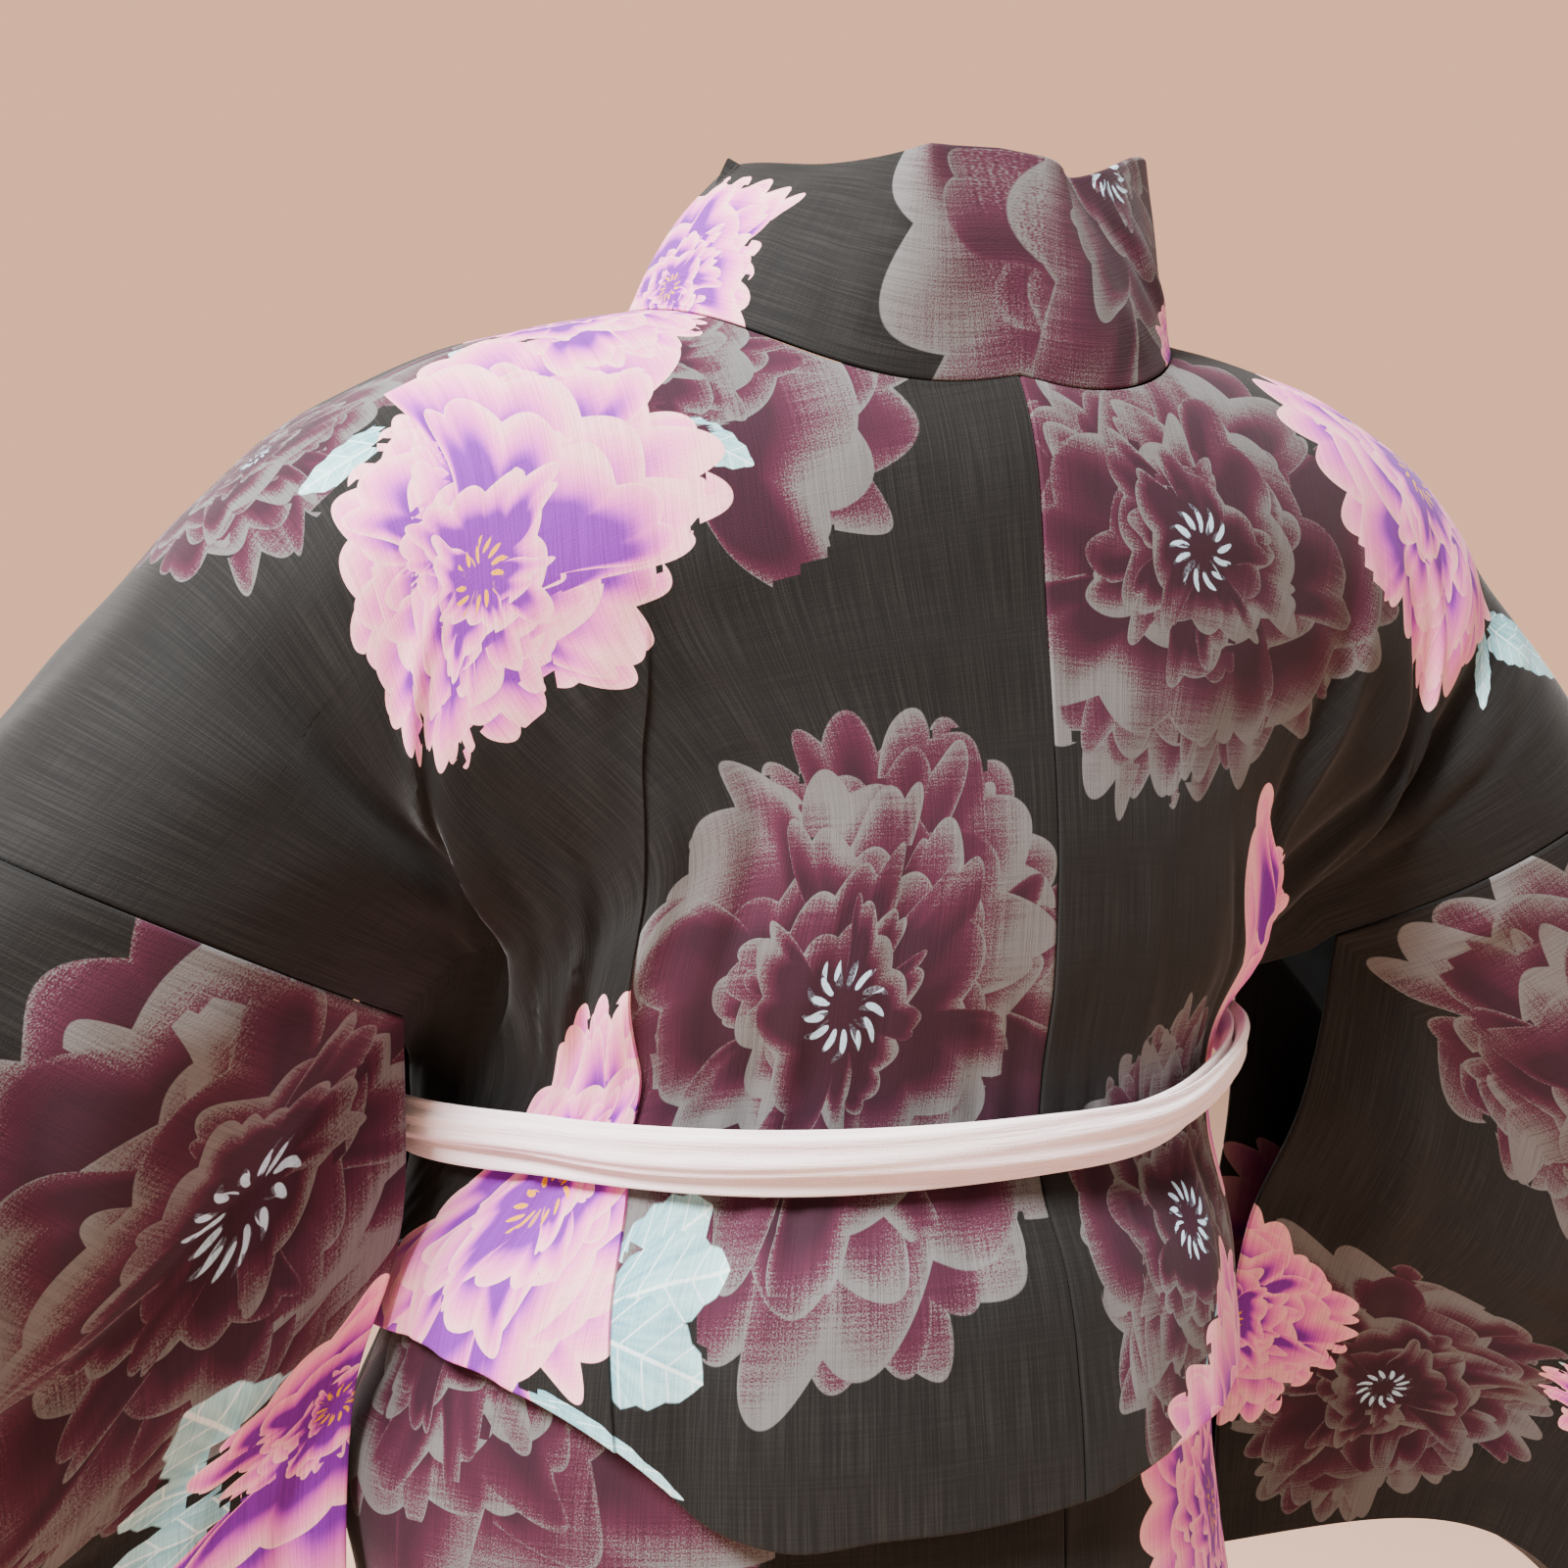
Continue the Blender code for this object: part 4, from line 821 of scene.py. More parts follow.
def spaced(length, step):
    """Parts of the way 0..1 along a length, about step apart, with a few close ones at each end."""
    first = np.array(EDGE_STEPS[:-1])
    middle = np.linspace(EDGE_STEPS[-1], length - EDGE_STEPS[-1], max(3, int(round(length / step))))
    return np.concatenate([first, middle, length - first[::-1]]) / length


def edge_roll(*distances):
    """Rounded edges: at distance d from the nearest of them the cloth sinks by
    r (1 - sqrt(1 - (1 - d / r)^2))."""
    nearest = np.min(np.abs(np.stack(np.broadcast_arrays(*distances))), axis=0)
    t = np.clip(1 - nearest / ROLL, 0, 1)
    return ROLL * (1 - np.sqrt(1 - t * t))


def faced_outwards(points, faces, spots):
    """The faces and their corners' places, turned over if the volume they enclose, the sum of
    a . (b x c) + a . (c x d), comes out negative."""
    a, b, c, d = (points[faces[:, i]] for i in range(4))
    if ((a * np.cross(b, c)).sum() + (a * np.cross(c, d)).sum()) < 0:
        return faces[:, ::-1], spots[:, ::-1]
    return faces, spots


def build_shell(name, outer, normals, thickness, cloth, region=None, closed=False, next_cloth=None):
    """One closed shell with its print. outer is a (rows, columns) grid of points and cloth its
    places (u, v); where the grid closes on itself, next_cloth gives each place as the column
    before it sees it."""
    rows, cols = outer.shape[:2]
    inner = outer - normals * (thickness + np.zeros((rows, cols)))[..., None]
    points = np.concatenate([outer.reshape(-1, 3), inner.reshape(-1, 3)])
    index = np.arange(rows * cols).reshape(rows, cols)
    if closed:
        index = np.concatenate([index, index[:, :1]], axis=1)
        here, ahead = cloth, next_cloth
    else:
        here, ahead = cloth[:, :-1], cloth[:, 1:]
    quads = np.stack([index[:-1, :-1], index[1:, :-1], index[1:, 1:], index[:-1, 1:]], axis=-1)
    quads = quads.reshape(-1, 4)
    places = np.stack([here[:-1], here[1:], ahead[1:], ahead[:-1]], axis=-2).reshape(-1, 4, 2)
    if region is None:
        region = np.zeros(len(places), int)
    shift = rows * cols
    faces, spots, sides, parts = [quads], [places], [np.zeros(len(quads))], [region]
    faces.append(quads[:, ::-1] + shift)
    spots.append(places[:, ::-1])
    sides.append(np.ones(len(quads)))
    parts.append(region)
    rims = [(index[0], cloth[0]), (index[-1, ::-1], cloth[-1, ::-1])]
    if not closed:
        rims += [(index[::-1, 0], cloth[::-1, 0]), (index[:, -1], cloth[:, -1])]
    for rim, at in rims:
        if closed:
            at = np.concatenate([at, at[-1:]])
        faces.append(np.stack([rim[:-1], rim[1:], rim[1:] + shift, rim[:-1] + shift], axis=-1))
        spots.append(np.stack([at[:-1], at[1:], at[1:], at[:-1]], axis=1))
        sides.append(np.full(len(rim) - 1, 0.5))
        parts.append(np.zeros(len(rim) - 1, int))
    faces, spots = np.concatenate(faces), np.concatenate(spots)
    sides, parts = np.concatenate(sides), np.concatenate(parts)
    faces, spots = faced_outwards(points, faces, spots)
    obj = add_mesh(name, points, faces)
    yarns = spots[..., ::-1] if name in CUT_LENGTHWISE else spots
    store(obj, "cloth", np.concatenate([yarns, sides[:, None, None] + 0 * spots[..., :1]], axis=-1))
    petals, cotton = corner_places(spots, parts, cloth_print(name))
    for number in range(LAYERS_SHOWN):
        store(obj, "print_" + str(number), petals[number])
    obj.data.polygons.foreach_set("material_index", cotton.astype(np.int32))
    print(name, "faces", len(faces), "by cotton", np.bincount(cotton, minlength=4))
    return obj


print("cloth thickness", CLOTH, "m")

# %% [markdown]
# The two body lengths each run from the waist fold at the back, over the shoulder, to the waist fold
# in front, and are sewn together down the centre back. The grid follows the cloth: its columns run
# with the warp, and on the left one column is led along the pleat so that its edge stays crisp.

# %% Body lengths
STEP = 0.0034
ALLOWANCE, ALLOWANCE_TOP, ALLOWANCE_RISE = 0.0150, 0.222, 0.0007
FOLD_LIP, LIP_REACH = 0.0012, (0.020, 0.012)
PLEAT_COLUMN, PLEAT_CLEAR = 0.5, 0.012
PLEAT_STEPS = (-0.009, -0.004, -0.0015, 0.0, 0.0015, 0.004, 0.009)
BELOW_ARMHOLE, BELOW_STEP = 0.215, 0.0032
NECK_ROWS, BACK_ROWS, FRONT_ROWS, CHEST_ROWS = 44, 32, 60, 8


def pleated(parts, v):
    """Parts of the way across, led so that the middle one lies on the pleat line on the back."""
    line = curve(PLEAT_LINE, 1, v)
    line = line + (PLEAT_COLUMN - line) * smooth(0.100, 0.020, v) * (v < 0.100)
    near, far = parts / PLEAT_COLUMN * line, 1 - (1 - parts) / (1 - PLEAT_COLUMN) * (1 - line)
    return np.where(parts <= PLEAT_COLUMN, near, far)


def allowance_step(u, v):
    """The folded seam allowance shows through beside the centre back seam as a faint step."""
    return ALLOWANCE_RISE * smooth(ALLOWANCE + 0.0008, ALLOWANCE - 0.0008, u) * smooth(
        ALLOWANCE_TOP, ALLOWANCE_TOP + 0.03, v)


def build_body(side, word):
    """One body length. Rows: the fold edge up the back, the round of the neck, down the front."""
    half = spaced(SIDE_WIDTH, STEP)
    if side > 0:
        half = np.concatenate([half[half < PLEAT_COLUMN - PLEAT_CLEAR], PLEAT_COLUMN + np.array(PLEAT_STEPS),
                               half[half > PLEAT_COLUMN + PLEAT_CLEAR]])
    back_low = lowest_v(half * SIDE_WIDTH, 1, side)
    front_low = lowest_v(OVERLAP_SEAM + half * (SIDE_WIDTH - OVERLAP_SEAM), -1, side)
    down = spaced(BELOW_ARMHOLE, BELOW_STEP)[len(EDGE_STEPS):]
    round_neck = NECK_BACK_DROP * np.cos(np.radians(np.linspace(90, 0, NECK_ROWS)))
    back = np.concatenate([round_neck, np.linspace(NECK_BACK_DROP, ARMHOLE, BACK_ROWS)[1:]])
    front = np.concatenate([np.linspace(0, ARMHOLE, FRONT_ROWS)[1:],
                            np.linspace(ARMHOLE, OVERLAP_TIP, CHEST_ROWS)[1:]])
    v = np.concatenate([(ARMHOLE + down[:, None] * (back_low - ARMHOLE))[::-1],
                        back[::-1, None] + 0 * back_low, -front[:, None] + 0 * front_low,
                        -(OVERLAP_TIP + down[:, None] * (front_low - OVERLAP_TIP))])
    low, high = inner_edge(v) + SEAM_GAP / 2, side_edge(v) - SEAM_GAP / 2
    part = half + 0 * v
    if side > 0:
        part = np.where(v > 0, pleated(part, v), part)
    u = low + (high - low) * part
    points, normals = body_point(u, v, side)
    lift = allowance_step(u, v) * (side < 0)
    if side > 0:
        lift = lift + pleat_height(part, v)
    bottom = np.concatenate([(back_low - v[:len(v) // 2]), (front_low + v[len(v) // 2:])])
    sink = edge_roll(u - low, high - u, bottom)
    lip = FOLD_LIP * smooth(*LIP_REACH, bottom)
    region = np.zeros((len(v) - 1, len(half) - 1), int)
    if side > 0:
        middle = (v[:-1, :-1] + v[1:, :-1]) / 2
        outer = (half[:-1] >= PLEAT_COLUMN - 1e-6) + 0 * region
        region = np.where(middle > PLEAT_START, np.where(outer > 0, 2, 1), 0)
    return build_shell("body_" + word, points + normals * (lift - sink)[..., None], normals,
                       CLOTH + lip + lift - THINNED * sink, np.stack([u, v], axis=-1), region.ravel())


body_pieces = {side: build_body(side, word) for side, word in SIDES}

# %% [markdown]
# Each front is widened by a strip, the okumi, that starts in a point on the chest and grows towards
# the waist. It is the straight-grain wedge between the body length and the collar.

# %% Overlap strips
STRIP_START, STRIP_STEP = 0.04, 0.005


def overlap_width(v):
    """Width of the strip at cloth distance v: it grows evenly from its tip."""
    return OVERLAP_WIDTH_AT_FOLD * (v - OVERLAP_TIP) / (OVERLAP_FOLD - OVERLAP_TIP)


def build_overlap(side, word):
    half = spaced(OVERLAP_WIDTH_AT_FOLD, STRIP_STEP)
    low = lowest_v(OVERLAP_SEAM - half * OVERLAP_WIDTH_AT_FOLD, -1, side)
    down = np.concatenate([np.linspace(STRIP_START, 0.985, 60), [0.9925, 0.9965, 0.9985, 1.0]])
    v = OVERLAP_TIP + down[:, None] * (low - OVERLAP_TIP)
    u = OVERLAP_SEAM - SEAM_GAP / 2 - half * (overlap_width(v) - SEAM_GAP)
    points, normals = body_point(u, -v, side)
    bottom = low - v
    sink = edge_roll(OVERLAP_SEAM - u, u - OVERLAP_SEAM + overlap_width(v), bottom)
    lip = FOLD_LIP * smooth(*LIP_REACH, bottom)
    return build_shell("okumi_" + word, points - normals * sink[..., None], normals,
                       CLOTH + lip - THINNED * sink, np.stack([u, -v], axis=-1))


overlap_pieces = {side: build_overlap(side, word) for side, word in SIDES}
print("overlap strips reach from", OVERLAP_TIP, "to about", OVERLAP_FOLD, "m below the shoulder")

# %% [markdown]
# The collar is one long band folded double. Worn by a woman it stands away from the nape, so it is
# made as half bands that lean by a given lift from the seam line, and further down the front it lies
# on the cloth beside it.

# %% Measures of the collar
COLLAR_CLOTH, COLLAR_USUAL, COLLAR_WAVINESS = 0.0026, 0.066, 0.0004
COLLAR_STATIONS = [
    # distance from the nape along the seam, left lift, right lift, width
    (0.000, 21.0, 21.0, 0.0735),
    (0.030, 28.0, 22.0, 0.0730),
    (0.060, 33.0, 27.0, 0.0705),
    (0.110, 38.0, 56.0, 0.0640),
    (0.150, 44.0, 82.0, 0.0615),
    (0.190, 37.0, 56.0, 0.0600),
    (0.250, 19.0, 16.0, 0.0600),
    (0.600, 0.0, 0.0, 0.070),
]
COLLAR_CREASES = [
    # place along the seam (positive left), place across, length across, width, height
    (-0.098, 0.012, 0.034, 0.0050, 0.0016),
    (-0.086, 0.020, 0.030, 0.0040, -0.0014),
    (-0.060, 0.008, 0.020, 0.0060, 0.0008),
    (0.070, 0.010, 0.030, 0.0070, -0.0010),
    (0.100, 0.014, 0.034, 0.0055, 0.0012),
    (0.020, 0.050, 0.030, 0.0100, -0.0008),
]


print("collar stations:", len(COLLAR_STATIONS), "creases:", len(COLLAR_CREASES))

# %% [markdown]
# The collar's seam is followed as cloth places (u, v), and the band rises from it. Both halves start
# at the nape, where they are joined as their mean, so that the band runs through without a seam.

# %% Collar


def collar_path(side):
    """Places (u, v) along the collar seam of one side and the distance along it."""
    low = lowest_v(np.array([OVERLAP_SEAM - OVERLAP_WIDTH_AT_FOLD]), -1, side)
    strip = OVERLAP_TIP + np.linspace(0, 1 - COLLAR_SHORT[side], 50)[1:] * (low - OVERLAP_TIP)
    neck = NECK_BACK_DROP * np.cos(np.radians(np.linspace(0, 90, 56)))
    front = -np.linspace(0, OVERLAP_TIP, 62)[1:]
    v = np.concatenate([neck, front, -strip])
    u = np.concatenate([inner_edge(neck), inner_edge(front), OVERLAP_SEAM - overlap_width(strip)])
    length = np.concatenate([[0], np.cumsum(np.hypot(np.diff(u), np.diff(v)))])
    return u, v, length


def collar_half(side, parts):
    """Half the collar from the nape: seam + across (cos lift, sin lift) in the plane of the way to
    the neck and the outward normal, with a slight bow, easing into the cloth down the front."""
    u, v, at = collar_path(side)
    seam, normal = body_point(u, v, side, fine=False)
    to_neck = unit(side * np.cross(np.gradient(seam, at, axis=0), normal))
    lift = np.radians(curve(COLLAR_STATIONS, 1 if side > 0 else 2, at))
    width = curve(COLLAR_STATIONS, 3, at)
    across = SEAM_GAP + parts[None, :] * (width[:, None] - SEAM_GAP)
    stand_way = np.cos(lift)[:, None] * to_neck + np.sin(lift)[:, None] * normal
    bow = COLLAR_BOW * np.sin(np.pi * across / width[:, None])
    stand = seam[:, None] + across[..., None] * stand_way[:, None]
    du, dv = np.gradient(u, at), np.gradient(v, at)
    flat = np.hypot(du, dv)
    lie = body_point(u[:, None] + across * (dv / flat)[:, None], v[:, None] - across * (du / flat)[:, None],
                     side, fine=False)[0]
    weight = smooth(0.19, 0.30, at)[:, None, None]
    points = (1 - weight) * stand + weight * lie
    out = unit(side * np.cross(np.gradient(points, axis=1), np.gradient(points, axis=0)))
    points = points + out * (bow * (1 - weight[..., 0]))[..., None]
    return points, np.stack([side * at[:, None] + 0 * across, across], axis=-1), width


def grid_normals(points, closed=False):
    """Unit normals of a grid, from the differences along its rows and its columns."""
    if closed:
        wide = np.concatenate([points[:, -1:], points, points[:, :1]], axis=1)
        around = wide[:, 2:] - wide[:, :-2]
    else:
        around = np.gradient(points, axis=1)
    return unit(np.cross(np.gradient(points, axis=0), around))


def build_collar():
    parts = spaced(COLLAR_USUAL, STEP)
    right, right_cloth, right_width = (grid[::-1] for grid in collar_half(-1, parts))
    left, left_cloth, left_width = collar_half(1, parts)
    points = np.concatenate([right[:-1], (right[-1:] + left[:1]) / 2, left[1:]])
    cloth = np.concatenate([right_cloth[:-1], left_cloth])
    width = np.concatenate([right_width[:-1], left_width])[:, None]
    normals = -grid_normals(points)
    s, w = cloth[..., 0], cloth[..., 1]
    crease = waviness(s, w + 0.4, COLLAR_WAVINESS) * smooth(0, 0.01, w)
    for s0, w0, long, wide, height in COLLAR_CREASES:
        along = (w - w0) / long
        crease += height * np.exp(-((s - s0 - 0.25 * (w - w0)) / wide) ** 2) * smooth(-0.3, 0.3, along) * (
            1 - smooth(0.7, 1.3, along))
    sink = edge_roll(w, width - w, s - s[0], s - s[-1])
    return build_shell("collar", points + normals * (crease - sink)[..., None], normals,
                       COLLAR_CLOTH - 1.5 * sink, cloth)


collar_piece = build_collar()

# %% [markdown]
# A yukata sleeve is a wide flat bag. It is sewn to the body only down to the armhole's end; below
# that its inner edge is open. The grid goes round the bag: down the back, round the lower fold and
# up the front, while its rows run from the body seam to the wrist.

# %% Measures of the sleeves
SLEEVE_INNER_EDGE = [
    # down, out on the left, out on the right, forward on the right, z
    (0.250, 0.180, 0.176, 0.004, -0.280),
    (0.320, 0.193, 0.170, 0.018, -0.337),
    (0.400, 0.197, 0.168, 0.030, -0.400),
    (0.490, 0.195, 0.170, 0.038, -0.476),
]
SLEEVE_WRIST_EDGE = [
    # down, x, half depth, z, from the end of the top fold
    (0.000, 0.000, 0.0000, 0.000),
    (0.045, -0.006, 0.0330, -0.020),
    (0.120, 0.004, 0.0360, -0.092),
    (0.200, 0.006, 0.0170, -0.165),
    (0.240, 0.002, 0.0030, -0.195),
    (0.360, -0.030, 0.0028, -0.262),
    (0.490, -0.095, 0.0028, -0.300),
]
SLEEVE_CREASES = [
    # side, face, out_start, down_start, out_end, down_end, width, height
    (1, 1, 0.000, 0.110, 0.060, 0.235, 0.0080, 0.0026),
    (1, 1, 0.010, 0.060, 0.110, 0.200, 0.0100, -0.0026),
    (1, 1, 0.030, 0.230, 0.070, 0.400, 0.0100, 0.0030),
    (1, 1, 0.090, 0.150, 0.150, 0.330, 0.0120, -0.0030),
    (1, 1, 0.200, 0.080, 0.220, 0.300, 0.0120, 0.0030),
    (1, 1, 0.000, 0.260, 0.030, 0.420, 0.0060, -0.0022),
    (-1, 1, 0.000, 0.120, 0.050, 0.260, 0.0080, 0.0026),
    (-1, 1, 0.030, 0.060, 0.120, 0.200, 0.0100, -0.0030),
    (-1, 1, 0.040, 0.200, 0.060, 0.420, 0.0110, 0.0032),
    (-1, 1, 0.110, 0.160, 0.160, 0.380, 0.0120, -0.0032),
    (-1, 1, 0.210, 0.080, 0.220, 0.320, 0.0120, 0.0030),
    (1, -1, 0.020, 0.100, 0.080, 0.300, 0.0100, 0.0028),
    (1, -1, 0.130, 0.120, 0.170, 0.380, 0.0120, -0.0030),
    (-1, -1, 0.020, 0.100, 0.080, 0.300, 0.0100, 0.0028),
    (-1, -1, 0.130, 0.120, 0.170, 0.380, 0.0120, -0.0030),
]
SLEEVE_ALLOWANCE, SLEEVE_ALLOWANCE_RISE = 0.024, 0.0008
FRONT_EDGE_SHIFT = 0.006
SLEEVE_WAVINESS = 0.0008
SLEEVE_STEP, SEWN_ROWS, FREE_ROWS = 0.0038, 60, 84
print("creases in the sleeves:", len(SLEEVE_CREASES))

# %% [markdown]
# Between its two edges the sleeve is a ruled surface, straight from the inner edge to the wrist,
# and a little swell keeps it from looking like card. Its top row is the body's own seam.

# %% Sleeves


def sleeve_point(w, d, face, side):
    """Left sleeve: w is the part of the way from the body seam to the wrist and d the distance down
    from the top fold. A point lies between the inner and the wrist edge at w, and the cloth swells
    a little by sin(pi w) sin(pi d / drop)."""
    seam = SHOULDER_WIDTH + SEAM_GAP / 2
    top, normal = body_point(seam, face * np.minimum(d, ARMHOLE), side, fine=False)
    end = body_point(seam, np.array(face * ARMHOLE), side, fine=False)[0] * mirror(side)
    top, normal = top * mirror(side), normal * mirror(side)
    downs = np.concatenate([[ARMHOLE], column(SLEEVE_INNER_EDGE, 0)])
    out = column(SLEEVE_INNER_EDGE, 1 if side > 0 else 2)
    forward = column(SLEEVE_INNER_EDGE, 3) * (side < 0)
    free_x = through(downs, np.concatenate([[end[0]], out]), d)
    free_z = through(downs, np.concatenate([[end[2]], column(SLEEVE_INNER_EDGE, 4)]), d)
    free_y = end[1] + (face * 0.012 - end[1]) * smooth(ARMHOLE, 0.33, d)
    free_y = free_y - through(downs, np.concatenate([[0], forward]), d)
    inner = np.where((d > ARMHOLE)[..., None], np.stack([free_x, free_y, free_z], axis=-1), top)
    x, z = shoulder_line(np.array(SHOULDER_WIDTH + SLEEVE_WIDTH))
    wrist = np.stack([x + curve(SLEEVE_WRIST_EDGE, 1, d), face * curve(SLEEVE_WRIST_EDGE, 2, d),
                      z + curve(SLEEVE_WRIST_EDGE, 3, d)], axis=-1)
    point = (1 - w)[..., None] * inner + w[..., None] * wrist
    drop = inner[..., 2] - wrist[..., 2]
    point[..., 2] += drop * (w - w ** 4) * smooth(0.15, SLEEVE_DROP, d)
    swell = np.sin(np.pi * w) * np.sin(np.pi * np.clip(d / SLEEVE_DROP, 0, 1))
    point[..., 1] += face * SLEEVE_FULLNESS * swell
    if side > 0 and face < 0:
        point[..., 0] -= FRONT_EDGE_SHIFT * smooth(0.16, 0.0, w) * smooth(0.33, 0.39, d)
    return point, normal


def build_sleeve(side, word):
    w = spaced(SLEEVE_WIDTH, SLEEVE_STEP)
    sewn = np.linspace(0, ARMHOLE, SEWN_ROWS)
    free = np.linspace(ARMHOLE, SLEEVE_DROP, FREE_ROWS)[1:]
    down = np.concatenate([sewn, free])
    back_down, front_down = down, down[:0:-1]
    d = np.concatenate([back_down, front_down])
    is_back = np.arange(len(d)) < len(back_down)
    face = np.where(is_back, 1, -1)
    w, d = w[:, None] + 0 * d, d + 0 * w[:, None]
    back, back_normal = sleeve_point(w, d, 1, side)
    front, front_normal = sleeve_point(w, d, -1, side)
    points = np.where(is_back[:, None], back, front)
    normals = grid_normals(points, closed=True)
    seam = np.where(is_back[:, None], back_normal, front_normal)
    bind = (1 - smooth(0.0, 0.03, w)) * (1 - smooth(ARMHOLE - 0.02, ARMHOLE + 0.02, d))
    if (normals * seam * bind[..., None]).sum() < 0:
        normals = -normals
    normals = unit(normals + bind[..., None] * (seam - normals))
    out = w * SLEEVE_WIDTH
    height = waviness(out + 2.1 * side + 0.3 * face, d, SLEEVE_WAVINESS)
    for row in SLEEVE_CREASES:
        if row[0] == side:
            height += fold_height([(side,) + row[2:]], side, out, d) * (face == row[1])
    height = height * smooth(0.0, 0.015, out) * smooth(0.0, 0.01, SLEEVE_WIDTH - out)
    height = height * smooth(0.0, 0.03, d) * smooth(0.0, 0.02, SLEEVE_DROP - d)
    fold = SLEEVE_ALLOWANCE * (1 - smooth(0.13, ARMHOLE + 0.01, d))
    height = height + SLEEVE_ALLOWANCE_RISE * smooth(fold + 0.0008, fold - 0.0008, out) * (d > 0.005) * (
        1 - smooth(ARMHOLE, ARMHOLE + 0.02, d))
    sink = edge_roll(out, SLEEVE_WIDTH - out)
    cloth = np.stack([out, face * d], axis=-1)
    ahead = np.roll(cloth, -1, axis=1)
    low = len(back_down) - 1
    ahead[:, low, 1] = 2 * cloth[:, low, 1] + ahead[:, low, 1]
    return build_shell("sleeve_" + word, (points + normals * (height - sink)[..., None]) * mirror(side),
                       normals * mirror(side), CLOTH - THINNED * sink, cloth, closed=True, next_cloth=ahead)


sleeve_pieces = {side: build_sleeve(side, word) for side, word in SIDES}

# %% [markdown]
# Below the waist fold the same lengths go on to the hem and wrap round the hips, left over right.
# Here a piece is a part of a ring at each height, pushed out by the layer under it and by long
# upright folds that start under the tie and open towards the hem.

# %% Skirt
SKIRT_CUT_TOP = 0.381
SKIRT_WIDTHS = {"back": 0.300, "front": 0.255, "okumi": 0.150}
SKIRT_FOLDS = [
    # turn round from the centre back, spread, height, top of the fold
    (24.0, 9.0, -0.0040, -0.42), (52.0, 10.0, 0.0050, -0.45), (78.0, 8.0, -0.0045, -0.50),
    (150.0, 10.0, 0.0045, -0.48), (228.0, 11.0, -0.0050, -0.45), (288.0, 9.0, 0.0050, -0.46),
    (318.0, 10.0, -0.0045, -0.43), (340.0, 8.0, 0.0035, -0.50),
]
SKIRT_CREASES = [
    (12.0, 3.0, 0.0013, -0.36), (37.0, 3.5, -0.0014, -0.34), (64.0, 3.0, 0.0013, -0.38),
    (90.0, 3.5, -0.0012, -0.40), (120.0, 3.0, 0.0013, -0.36), (137.0, 3.5, -0.0013, -0.42),
    (168.0, 3.0, 0.0012, -0.36), (190.0, 3.5, -0.0013, -0.40), (214.0, 3.0, 0.0013, -0.36),
    (244.0, 3.5, 0.0014, -0.38), (270.0, 3.0, -0.0013, -0.42), (303.0, 3.5, 0.0013, -0.36),
    (329.0, 3.0, 0.0011, -0.38), (352.0, 3.5, -0.0011, -0.36),
]
UPPER_TUCK, FRONT_TUCK = 0.0062, 0.0055
SKIRT_STEPS, SKIRT_RADIUS, SKIRT_WAVINESS = (0.0052, 0.0072), 0.10, 0.0006


def skirt_base(angle, z, side):
    """Skirt section before layers and folds: the skirt's own ring, easing at the top into the upper
    ring moved in, where it is tucked inside the waist fold."""
    tucked = -(UPPER_TUCK + FRONT_TUCK * smooth(80, 112, np.abs(angle)))
    lower = ring(SKIRT_SECTIONS, angle, z, 0.0, side)
    upper = ring(UPPER_SECTIONS, angle, np.maximum(z, -0.39), tucked, side)
    upper[..., 2] = z
    weight = smooth(SKIRT_TOP_Z, -0.362, z)[..., None]
    return (1 - weight) * upper + weight * lower


def skirt_point(angle, z, side):
    """Skirt cloth and its outward normal. The folds are bells round the figure that fade in
    downwards, height * exp(-(away / spread)^2)."""
    def raised(angle, z):
        base = skirt_base(angle, z, side)
        over = side * smooth(0.09, -0.09, base[..., 0]) * smooth(80, 112, np.abs(angle))
        turn = np.mod(angle * side, 360)
        fold = np.zeros_like(turn)
        for centre, spread, height, top in SKIRT_FOLDS + SKIRT_CREASES:
            away = (turn - centre + 180) % 360 - 180
            fold += height * np.exp(-(away / spread) ** 2) * smooth(top, top - 0.25, z)
        out = np.radians(angle)
        way = np.stack([np.sin(out), np.cos(out), 0 * out], axis=-1)
        return base + way * (SKIRT_LAYER * over + fold)[..., None]

    point = raised(angle, z)
    around = raised(angle + 0.2, z) - raised(angle - 0.2, z)
    along = raised(angle, z + 0.001) - raised(angle, z - 0.001)
    return point * mirror(side), unit(np.cross(along, around)) * mirror(side)


def build_skirt(part, side, word, start, end):
    cut = SKIRT_WIDTHS[part]
    across = spaced(cut, SKIRT_STEPS[0])
    t = spaced(SKIRT_TOP_Z - HEM_Z, SKIRT_STEPS[1])[:, None]
    gap = np.degrees(SEAM_GAP / 2 / SKIRT_RADIUS)
    angle = start + gap + (end - start - 2 * gap) * across + 0 * t
    rise = HEM_RISE * smooth(OVERLAP_ANGLE, EDGE_ANGLE, angle)
    z = SKIRT_TOP_Z + (HEM_Z + rise - SKIRT_TOP_Z) * t
    points, normals = skirt_point(angle, z, side)
    u = across * cut if part != "okumi" else (1 - across) * cut
    cloth = np.stack([u + 0 * t, SKIRT_CUT_TOP + (SKIRT_TOP_Z - z)], axis=-1)
    edge = np.minimum(across, 1 - across) * cut + 0 * t
    sink = edge_roll(edge, z - z[-1:])
    height = waviness(cloth[..., 0] + side, cloth[..., 1], SKIRT_WAVINESS) * smooth(0.0, 0.01, edge)
    return build_shell("skirt_" + part + "_" + word, points + normals * (height - sink)[..., None], normals,
                       CLOTH - THINNED * sink, cloth)


